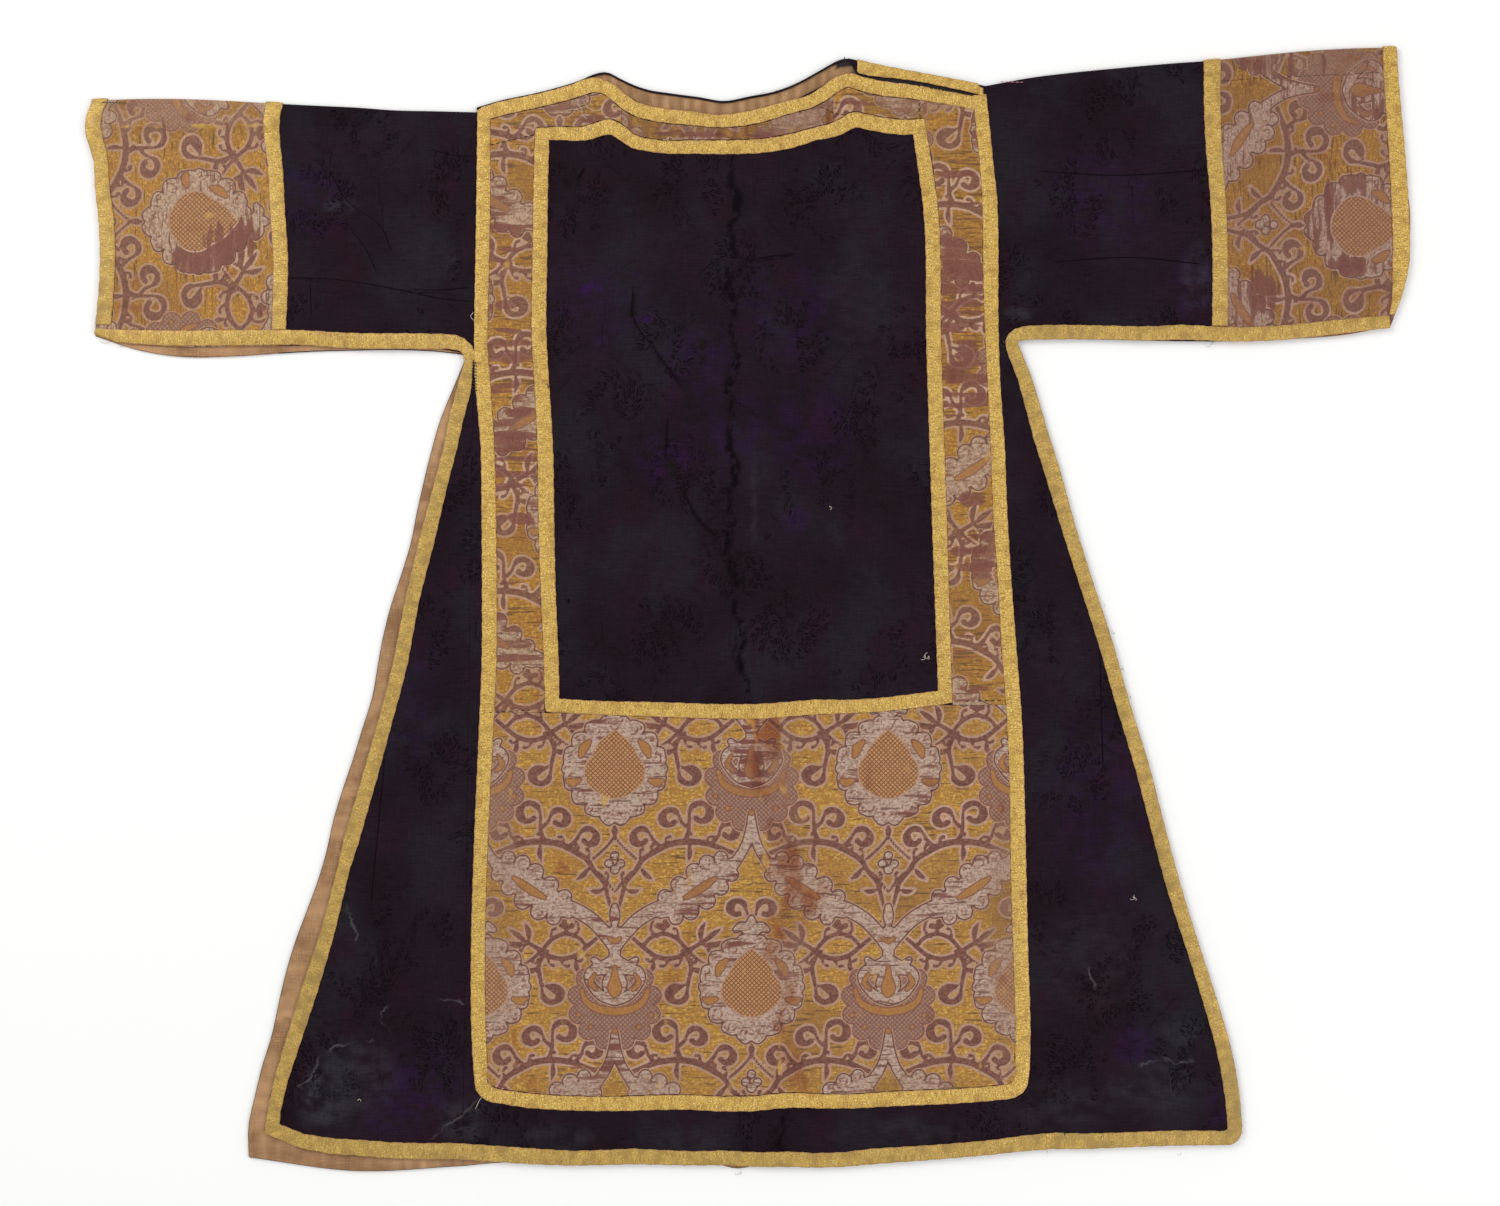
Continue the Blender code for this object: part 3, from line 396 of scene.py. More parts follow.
def closed_sheet(name: str, outer: Array, inner: Array, fields: dict[str, Array]) -> Object:
    """A thin closed piece of cloth from a grid and its other skin.

    Args:
        name: the piece's name.
        outer: rows and columns of points in metres for the skin that is seen.
        inner: the same for the skin under it.
        fields: named values for each point of the grid, three to a point.
    Returns:
        The new object.
    """
    rows, columns = outer.shape[:2]
    bpy.ops.object.select_all(action="DESELECT")
    bpy.ops.mesh.primitive_grid_add(x_subdivisions=columns - 1, y_subdivisions=rows - 1, size=1.0)
    piece = bpy.context.active_object
    piece.name = piece.data.name = name
    piece.data.vertices.foreach_set("co", outer.astype(np.float32).ravel())
    wall = piece.modifiers.new("wall", "SOLIDIFY")
    wall.thickness, wall.offset = MILLIMETRE, -1.0
    bpy.ops.object.modifier_apply(modifier=wall.name)
    mesh = piece.data
    both = np.concatenate([outer.reshape(-1, 3), inner.reshape(-1, 3)])
    mesh.vertices.foreach_set("co", both.astype(np.float32).ravel())
    for label, values in fields.items():
        layer = mesh.attributes.new(label, "FLOAT_VECTOR", "POINT")
        flat = values.reshape(-1, 3)
        layer.data.foreach_set("vector", np.concatenate([flat, flat]).astype(np.float32).ravel())
    while mesh.uv_layers:
        mesh.uv_layers.remove(mesh.uv_layers[0])
    mesh.update()
    probe = bmesh.new()
    probe.from_mesh(mesh)
    if probe.calc_volume(signed=True) < 0:
        bmesh.ops.reverse_faces(probe, faces=probe.faces)
        probe.to_mesh(mesh)
    probe.free()
    bpy.ops.object.shade_smooth_by_angle(angle=SMOOTH_ANGLE)
    return piece


# ------ drawn patterns

Stroke = tuple[tuple[float, float, float], ...]  # along it: across, down and half its width


def dots(*rows: tuple[float, float, float]) -> tuple[Stroke, ...]:
    """Round dots, each a stroke of one point."""
    return tuple((row,) for row in rows)


def lobes(across: float, down: float, reach: float, size: float, count: int, first: float = 0.0,
          last: float = 180.0) -> tuple[Stroke, ...]:
    """Round lobes on an arc about a centre, from the first angle to the last in degrees from the top."""
    turns = np.radians(np.linspace(first, last, count))
    return dots(*((across + reach * math.sin(turn), down - reach * math.cos(turn), size) for turn in turns))


# A hook's points: how far out from the bend, how far back along it, and half the width.
SMALL_HOOK = ((0.6, 0.0, 2.6), (1.0, 0.0, 3.4))
LARGE_HOOK = ((0.0, 0.0, 2.6), (3.4, 1.4, 1.9), (5.6, 4.2, 2.0), (5.0, 7.2, 2.6))


def hooked(strokes: Sequence[Stroke]) -> tuple[Stroke, ...]:
    """Strokes with small hooks on the outside of their bends and round ends, as acanthus has.

    Args:
        strokes: the strokes, of which those with few points stay plain.
    Returns:
        The strokes and their hooks.
    """
    fewest, slight, close_set, stout, round_end = 5, 1.6, 20, 2.4, 4.9
    more: list[Stroke] = []
    for stroke in strokes:
        if len(stroke) < fewest:
            continue
        for before, (x, y, width), after in zip(stroke[1:], stroke[2:], stroke[3:]):
            along = np.array([after[0] - before[0], after[1] - before[1]])
            length = float(np.linalg.norm(along))
            out = np.array([2 * x - before[0] - after[0], 2 * y - before[1] - after[1]])
            bend = float(np.linalg.norm(out))
            if bend < slight:
                continue
            more.append(tuple((x + out[0] / bend * (width + far - 1) - along[0] / length * on,
                               y + out[1] / bend * (width + far - 1) - along[1] / length * on, size)
                              for far, on, size in (SMALL_HOOK if length < close_set else LARGE_HOOK)))
        if stroke[-1][2] > stout:
            more.append(((*stroke[-1][:2], round_end),))
    return (*strokes, *more)


def curl(lead: Stroke, across: float, down: float, reach: float, first: float, turn: float) -> Stroke:
    """A stroke that winds inwards to a round end.

    Args:
        lead: the points that lead to it.
        across: the middle of its turns.
        down: the same, down.
        reach: from the middle to where the turns start.
        first: the angle where they start, in degrees from the top.
        turn: how far they go round.
    Returns:
        The stroke.
    """
    turns = [(share, math.radians(first + turn * share)) for share in np.linspace(0, 0.78, 9)]
    return (*lead, *((across + reach * (1 - 0.5 * share) * math.sin(angle),
                      down - reach * (1 - 0.5 * share) * math.cos(angle),
                      2.2 + 2.3 * math.sin(math.pi * share / 0.9) + 0.7 * math.sin(17 * share))
                     for share, angle in turns))


def scrolls(strokes: Sequence[Stroke]) -> tuple[Stroke, ...]:
    """A small scroll inside each round lobe."""
    return tuple(tuple((x + 0.5 * size * math.cos(turn), y + 0.5 * size * math.sin(turn), 0.9)
                       for turn in np.linspace(x, x + 3.6, 5))
                 for stroke in strokes if len(stroke) == 1 for x, y, size in stroke if 5.4 < size < 12)


class Drawing:
    """Strokes of changing width, as the distance from any point to their edge."""

    STEPS = 5

    def __init__(self, strokes: Sequence[Stroke]) -> None:
        """Smooth each stroke into short straight runs.

        Args:
            strokes: the strokes.
        """
        runs = []
        for stroke in strokes:
            points = np.array(stroke, dtype=float)
            if len(points) == 1:
                points = np.repeat(points, 2, axis=0)
            elif len(points) > 2:
                padded = np.vstack([2 * points[0] - points[1], points, 2 * points[-1] - points[-2]])
                share = np.linspace(0, 1, self.STEPS, endpoint=False)[:, None]
                turns = [0.5 * (2 * b + (c - a) * share + (2 * a - 5 * b + 4 * c - d) * share ** 2
                                + (3 * b - a - 3 * c + d) * share ** 3)
                         for a, b, c, d in zip(padded, padded[1:], padded[2:], padded[3:])]
                points = np.vstack([*turns, points[-1:]])
            runs.append(np.hstack([points[:-1], points[1:]]))
        self.runs = np.vstack(runs)

    def distance(self, across: Array, down: Array) -> Array:
        """The distance to the drawing's edge in millimetres, negative inside it.

        Args:
            across: the points across.
            down: the points down.
        Returns:
            The distance at each point.
        """
        nearest = np.full(across.shape, FAR)
        for x, y, width, to_x, to_y, to_width in self.runs:
            run_x, run_y = to_x - x, to_y - y
            length = run_x * run_x + run_y * run_y
            off_x, off_y = across - x, down - y
            share = np.clip((off_x * run_x + off_y * run_y) / length, 0, 1) if length > 0 else 0.0
            away = np.hypot(off_x - run_x * share, off_y - run_y * share)
            np.minimum(nearest, away - (width + (to_width - width) * share), out=nearest)
        return nearest


@dataclass(frozen=True)
class Repeat:
    """Where one piece's pattern lies: the middle of a roundel, and which way its stem points."""

    across: float
    down: float
    sideways: bool = False

    HALF = 136.5  # from one mirror line to the next
    LENGTH = 436.0  # from one roundel to the next below it
    ABOVE = 100.0  # how much of a length is counted as above the roundel

    def families(self, across: Array, down: Array) -> tuple[tuple[Array, Array], tuple[Array, Array]]:
        """Points as distances beside and along the two sets of mirror lines.

        Args:
            across: the points across.
            down: the points down.
        Returns:
            The distances for each set.
        """
        if self.sideways:
            beside, along = down - self.down, self.across - across
        else:
            beside, along = across - self.across, down - self.down
        beside = np.abs((beside + self.HALF) % (2 * self.HALF) - self.HALF)
        first, second = ((along + start + self.ABOVE) % self.LENGTH - self.ABOVE
                         for start in (0.0, self.LENGTH / 2))
        return (beside, first), (self.HALF - beside, second)


VINES = Drawing(hooked((
    ((0, 46, 2.6), (0, 58, 2.2), (0, 68, 2.6)),
    ((0, 62, 4), (0, 69, 2.2)), ((0, 68, 2), (8, 78, 2), (21, 90, 2.2)), ((0, 124, 1.6),
     (7, 114, 2), (16, 104, 2)),
    ((128, 88, 2.6), (112, 82, 3), (92, 75, 3.6), (72, 73, 3.8), (54, 76, 3.8), (40, 83, 3.6),
     (28, 91, 3.2),
     (20, 103, 3), (11, 114, 2.8), (7, 128, 2.6), (3, 142, 2.2)),
    ((74, 75, 1.6), (75, 85, 3.2), (73, 94, 1)),
    ((25, 98, 1.2), (31, 106, 3.4), (38, 111, 1.2)),
    ((10, 120, 1.2), (18, 123, 3.2), (26, 121, 1)),
    ((14, 166, 2.4), (28, 178, 2.8), (40, 187, 3), (53, 190, 3), (66, 187, 3), (78, 179, 2.8),
     (90, 172, 2.4)),
    ((28, 178, 2.4), (36, 169, 2.6), (49, 165, 2.8), (62, 170, 2.8), (72, 181, 2.6), (82, 190, 2.2),
     (92, 196, 1.6)),
    ((88, 174, 1.6), (96, 167, 3.6), (106, 160, 1.4)),
    ((88, 176, 1.6), (100, 176, 3.8), (112, 172, 1.4)),
    ((86, 174, 1.4), (86, 163, 3.6), (90, 154, 1.4)),
    ((90, 178, 1.4), (99, 186, 3.4), (109, 188, 1.4)),
    ((70, 216, 1.8), (61, 221, 3.4), (54, 230, 1.4)),
    ((75, 199, 1.4), (84, 202, 3.6), (92, 200, 1.2)),
    ((39, 190, 1.4), (38, 199, 3.2), (33, 205, 1.2)),
)) + (
    curl(((70, 73, 3.2), (74, 61, 2.6)), 86, 45, 11.5, -85, 400),
    curl(((74, 60, 2.6), (67, 54, 2.4)), 55, 50, 9.5, 75, -390),
    curl(((48, 80, 2.8), (39, 72, 2.6)), 26, 69, 9.5, 60, -380),
    curl(((96, 76, 2.8), (103, 68, 2.4)), 114, 63, 9, -70, 390),
    curl(((42, 168, 2.2), (36, 161, 2.2)), 46, 153, 8, -80, 380),
    curl(((71, 185, 2.8), (76, 198, 2.8), (74, 211, 2.6)), 62, 224, 10.5, 80, 390),
    curl(((134, 152, 1.8), (132, 144, 2.2)), 122, 140, 9, 95, -380),
    curl(((92, 210, 1.4), (97, 214, 2)), 106, 215, 7, -80, 380)))
LEAF_STROKES: tuple[Stroke, ...] = (
    *lobes(0, 0, 43, 9, 8), *lobes(0, 0, 47, 5.5, 9, 11, 169), ((0, 0, 43),),
    ((0, -50, 3), (0, -61, 5.5), (0, -70, 1.6)), ((2, -52, 2.6), (9, -60, 4.4), (16, -57, 2.4)),
    ((0, 47, 4), (6, 53, 3.4), (12, 49, 2.4)),
    *dots((0, 87, 3.6), (0, 101, 4), (6, 95, 3.6)), ((0, 138, 3), (0, 147, 4.6), (0, 156, 2.6)),
    ((0, 178, 6), (9, 166, 6.2), (22, 152, 6.4), (38, 142, 6.6), (52, 137, 7)),
    ((46, 142, 7), (64, 133, 12), (84, 119, 14), (102, 106, 11), (120, 94, 5)),
    *dots((50, 128, 6.5), (64, 116, 7.5), (79, 103, 7.5), (92, 94, 7), (106, 89, 6)),
    *dots((61, 149, 6.5), (76, 143, 7.5), (92, 132, 8), (106, 119, 7), (117, 106, 6)),
    ((120, 94, 4.6), (129, 80, 4.2), (134, 65, 3.8), (137, 46, 3.4)),
    ((0, 164, 6.5), (0, 186, 5)), ((0, 186, 4.4), (0, 198, 6.6)), ((3, 190, 3.2), (13, 197, 4.6),
     (21, 191, 2.6)),
    ((0, 200, 5), (11, 201, 4.4), (22, 202, 4.8), (26, 209, 4.2), (22, 218, 3.8), (13, 227, 4.4),
     (0, 231, 5.4)),
    ((0, 215, 12),),
)
LEAVES, CURLS = Drawing(LEAF_STROKES), Drawing(scrolls(LEAF_STROKES))
NETTED = Drawing((
    *lobes(0, 234, 38, 9, 5, 50, 165), ((0, 236, 37),), ((0, 258, 20), (0, 281, 3)),
))
FIELDS = Drawing((
    ((0, 4, 26), (0, -11, 21), (0, -37, 1.6)), ((9, 4, 21),),
))
CUTS_IN = Drawing((
    ((70, 129, 1.4), (81, 123, 3.4), (93, 115, 3), (101, 109, 1.2)),
    ((25, -27, 1.4), (31, -20, 3.8), (34, -12, 1.4)), ((35, 12, 1.4), (42, 14, 3.2), (48, 12, 1.2)),
    ((0, 198, 1.2), (0, 210, 3.4), (0, 219, 6.4), (0, 225, 3)), ((20, 205, 1), (24, 214, 2),
     (18, 221, 1)),
    ((33, 221, 1.4), (29, 232, 2.4), (17, 240, 3.2), (0, 243, 3.4)), *dots((24, 258, 2), (36, 246, 2)),
    ((0, 262, 2.4),), ((0, 173, 1.5), (5, 170, 1.6)),
))


@dataclass(frozen=True)
class Patch:
    """A soft oval mark on the cloth."""

    across: float
    down: float
    wide: float
    tall: float
    amount: float

    def weight(self, across: Array, down: Array) -> Array:
        """How strong it is at points of the sheet."""
        away = np.hypot((across - self.across) / self.wide, (down - self.down) / self.tall)
        return self.amount * eased(1.5 - 1.5 * away)


def patches(*rows: tuple[float, ...]) -> tuple[Patch, ...]:
    """Patches from rows of across, down, wide, tall and amount."""
    return tuple(Patch(*row) for row in rows)


def marked(marks: Sequence[Patch], across: Array, down: Array) -> Array:
    """The strongest of some patches at each point."""
    return np.max([mark.weight(across, down) for mark in marks], axis=0)


def beside_nearest(creases: Sequence[Crease], across: Array, down: Array) -> tuple[Array, Array]:
    """How far points lie beside the nearest of some thin creases, with a sign for the side.

    Args:
        creases: the creases.
        across: the points across.
        down: the points down.
    Returns:
        The distances, and how strong it is there, from 0 to 1.
    """
    reach, fade = 6, 2
    beside, ends = (np.array(part) for part in zip(*(crease.beside(across, down) for crease in creases)))
    nearest = (np.abs(beside) + FAR * (ends <= 0)).argmin(axis=0)[None]
    beside, ends = (np.take_along_axis(part, nearest, axis=0)[0] for part in (beside, ends))
    return np.clip(beside, -9, 9), ends * eased((reach - np.abs(beside)) / fade)


def puckers(across: Array) -> Array:
    """The small upright gathers round the neck, from 0 in a trough to 1 on a ridge."""
    turn = across * 0.52 + 1.7 * np.sin(across * 0.083) + 0.9 * np.sin(across * 0.031)
    return 0.5 - 0.5 * np.cos(turn)


REPEATS = {
    "brocade_foot": Repeat(615, 768), "brocade_column_left": Repeat(442, 300),
    "brocade_column_right": Repeat(886, 350), "brocade_shoulder_left": Repeat(560, 60),
    "brocade_shoulder_right": Repeat(905, 60), "brocade_neck_band": Repeat(700, 20),
    "cuff_left": Repeat(200, 222, True), "cuff_right": Repeat(1360, 225, True),
}
SPRAY_TILE = (250.0, 290.0)  # the damask's repeat, and the middles of its sprays
SPRAYS = ((70.0, 200.0), (190.0, 185.0), (40.0, 45.0), (165.0, 55.0), (115.0, 120.0), (240.0, 270.0))
SHOULDER_SLIT = ((850, 74), (860, 78), (900, 84), (966, 95), (985, 99))
# Marks of use: faded and dusty damask, worn, rusty and dull brocade, and handled galloon; with them painted
# light: shade along the damask's creases, shade beside the brocade's crease and gathers, and highlights on
# its creases and rolls.
PURPLE = patches(
    (592, 290, 14, 11, 1.5), (644, 320, 16, 5, 1.5), (604, 342, 10, 8, 0.7), (600, 300, 90, 60, 0.2),
    (700, 370, 60, 70, 0.3), (668, 462, 46, 36, 0.45), (730, 430, 60, 60, 0.3), (790, 310, 70, 70, 0.3),
    (810, 430, 60, 80, 0.3), (796, 520, 20, 18, 0.5), (420, 1085, 60, 60, 0.4), (1135, 1045, 34, 34, 0.4),
    (395, 1110, 50, 40, 0.35), (1218, 1105, 20, 34, 0.3), (1192, 285, 32, 50, 0.4),
    (300, 200, 70, 60, 0.3), (400, 700, 60, 110, 0.2), (1100, 800, 70, 130, 0.25),
    (1100, 200, 80, 70, 0.25))
GREY = patches(
    (355, 1075, 58, 50, 0.45), (1180, 1028, 34, 24, 0.4), (1130, 1088, 34, 18, 0.4),
    (1195, 280, 20, 46, 0.5), (1018, 314, 22, 10, 0.5), (860, 300, 50, 90, 0.12),
    (440, 250, 40, 30, 0.15), (754, 500, 5, 60, 0.35), (340, 208, 24, 14, 0.5), (330, 900, 40, 80, 0.15),
    (326, 1096, 40, 50, 0.65), (462, 1120, 36, 30, 0.5), (1060, 1105, 70, 34, 0.3),
    (1160, 1085, 60, 36, 0.35), (560, 1135, 60, 18, 0.3), (690, 1140, 50, 18, 0.25),
    (900, 1130, 90, 22, 0.25), (1090, 960, 60, 70, 0.2))
# Thin lines of painted shade along small creases in the damask.
SHADED_CREASE_LINES = Drawing((
    ((634, 296, 0.2), (632, 312, 1.4), (636, 326, 0.2)), ((646, 340, 0.1), (680, 385, 0.1)),
    ((683, 487, 0.1), (695, 515, 0.8), (720, 541, 0.1)), ((668, 420, 0.1), (668, 455, 0.1)),
    ((635, 157, 0.6), (652, 164, 0.2), (672, 168, 0.1)), ((750, 262, 0.1), (790, 255, 0.2)),
    ((1000, 905, 0.1), (1010, 960, 0.1)), ((585, 168, 0.1), (580, 178, 0.8)),
))
WORN = patches(
    (780, 880, 34, 260, 0.2), (752, 760, 40, 60, 0.4), (505, 360, 50, 70, 1.0), (512, 465, 46, 60, 0.95),
    (960, 290, 50, 90, 1.05), (965, 385, 46, 60, 1.0), (515, 620, 40, 100, 0.5), (960, 190, 50, 60, 0.7),
    (500, 240, 40, 60, 0.6), (975, 555, 44, 40, 0.95), (975, 660, 34, 60, 0.7), (600, 1060, 90, 40, 0.35),
    (930, 820, 70, 60, 0.35), (190, 130, 90, 34, 0.5), (1330, 200, 60, 80, 0.55),
    (1262, 290, 26, 34, 1.2), (1350, 265, 34, 16, 1.1), (1245, 65, 26, 12, 1.1), (1350, 180, 22, 22, 0.9),
    (512, 356, 26, 14, 1.35), (508, 304, 18, 10, 1.3), (520, 412, 24, 8, 1.3), (954, 268, 22, 16, 1.35),
    (966, 300, 22, 14, 1.2), (966, 352, 22, 22, 1.3), (956, 376, 26, 12, 1.3), (520, 520, 20, 12, 1.2),
    (972, 500, 22, 14, 1.25), (230, 245, 46, 40, 1.0), (195, 262, 40, 24, 0.9), (1300, 65, 90, 24, 0.7),
    (1270, 285, 50, 50, 0.7), (1345, 320, 60, 20, 0.6), (1370, 110, 40, 30, 0.5), (700, 900, 60, 60, 0.3),
    (920, 920, 60, 60, 0.3), (560, 120, 90, 30, 0.7), (730, 135, 110, 18, 0.75), (880, 105, 60, 26, 0.7),
    (980, 120, 40, 40, 0.6), (515, 160, 34, 20, 0.4))
# Rusty stains, partly painted shade along the foot's crease.
RUST_AND_SHADE = patches(
    (772, 740, 14, 40, 0.8), (779, 800, 18, 60, 0.6), (787, 880, 20, 60, 0.75), (790, 930, 28, 34, 0.8),
    (790, 1010, 12, 60, 0.5), (790, 1070, 12, 40, 0.6), (757, 770, 10, 30, 0.5), (806, 905, 14, 20, 0.7),
    (960, 790, 40, 14, 0.4), (120, 300, 20, 30, 0.2), (1240, 84, 34, 5, 0.5), (1350, 79, 34, 6, 0.5),
    (1240, 330, 30, 12, 0.5))
# Painted highlights along the foot's crease and on the left cuff's roll.
PAINTED_HIGHLIGHTS = patches(
    (758, 800, 5, 60, 0.3), (766, 870, 5, 60, 0.5), (774, 960, 5, 60, 0.4), (780, 1050, 4, 50, 0.5),
    (190, 126, 110, 5, 0.7), (120, 146, 60, 6, 0.4))
DULL = patches(
    (180, 112, 230, 46, 0.45), (560, 118, 90, 34, 0.4), (905, 104, 80, 30, 0.5), (1300, 60, 140, 26, 0.6),
    (783, 760, 24, 60, 0.35), (498, 900, 30, 190, 0.35), (1006, 930, 30, 160, 0.5),
    (620, 1084, 130, 20, 0.25), (790, 900, 30, 140, 0.3), (920, 1085, 90, 18, 0.3),
    (1240, 300, 40, 60, 0.3))
HANDLED = patches(
    (1232, 1100, 24, 70, 0.35), (1165, 850, 30, 90, 0.15), (86, 300, 30, 110, 0.35),
    (1085, 1140, 60, 12, 0.15), (305, 930, 30, 160, 0.2), (1060, 333, 40, 12, 0.25))


# ------ finishes

Socket = bpy.types.NodeSocket
Adder = Callable[..., Socket]
PER_METRE = 1000.0  # over a size in millimetres: how many to a metre
FULL_TURN = 2 * math.pi
STEP = {"interpolation_type": "SMOOTHSTEP"}  # from 0 at one value to 1 at the next
OVER = {"data_type": "RGBA", "out": 2}
TINTING = {**OVER, "blend_type": "MULTIPLY"}
TIMES, PLUS, LESS, TIMES_PLUS, SIZE_OF = ({"operation": name} for name in (
    "MULTIPLY", "ADD", "SUBTRACT", "MULTIPLY_ADD", "ABSOLUTE"))


def linear(code: str) -> tuple[float, float, float, float]:
    """A colour as linear values.

    Args:
        code: its sRGB value, as six hexadecimal digits.
    Returns:
        Red, green, blue and 1.
    """
    parts = [int(code[index:index + 2], 16) / 255 for index in (0, 2, 4)]
    red, green, blue = (part / 12.92 if part <= 0.04045 else ((part + 0.055) / 1.055) ** 2.4
                        for part in parts)
    return red, green, blue, 1.0


def add_node(material: bpy.types.Material, kind: str, inputs: dict | Sequence, out: int | str = 0,
             **settings) -> Socket:
    """Add one node to a material.

    Args:
        material: the material.
        kind: the node's type, without its leading ShaderNode.
        inputs: what goes in, by the socket's name or number or in order: a socket to link, a value, or a
            colour's six digits.
        out: the output to return.
        settings: the node's own properties.
    Returns:
        The chosen output.
    """
    made = material.node_tree.nodes.new("ShaderNode" + kind)
    for label, value in settings.items():
        setattr(made, label, value)
    for label, value in inputs.items() if isinstance(inputs, dict) else enumerate(inputs):
        if isinstance(value, Socket):
            material.node_tree.links.new(value, made.inputs[label])
        else:
            made.inputs[label].default_value = linear(value) if isinstance(value, str) else value
    return made.outputs[out] if made.outputs else None


@dataclass(frozen=True)
class Finish:
    """What every finish has: the name of its material and a slot name, by which its pieces' wall thickness
    is looked up.
    """

    name: str = "plain"
    slot: str | None = None

    def material(self) -> bpy.types.Material:
        """The finish's material, made when first asked for.

        Returns:
            The material.
        """
        made = bpy.data.materials.get(self.name)
        if made is None:
            made = bpy.data.materials.new(self.name)
            made.use_nodes = True
            made.node_tree.nodes.clear()
            add_node(made, "OutputMaterial", {"Surface": self.mix(partial(add_node, made))})
        return made

    def mix(self, add: Adder) -> Socket:
        """Put the nodes together and return the shader."""
        raise NotImplementedError

    def fields(self, name: str, across: Array, down: Array) -> dict[str, Array]:
        """The named values that the pattern needs at points of a piece."""
        return {}


@dataclass(frozen=True)
class Plain(Finish):
    """Matt white paper for the floor, or sewing thread: one colour with no pattern to see."""

    colour: str = "fdfdfc"
    roughness: float = 0.9

    def mix(self, add: Adder) -> Socket:
        """Put the nodes together and return the shader."""
        return add("BsdfPrincipled", {"Base Color": self.colour, "Roughness": self.roughness})


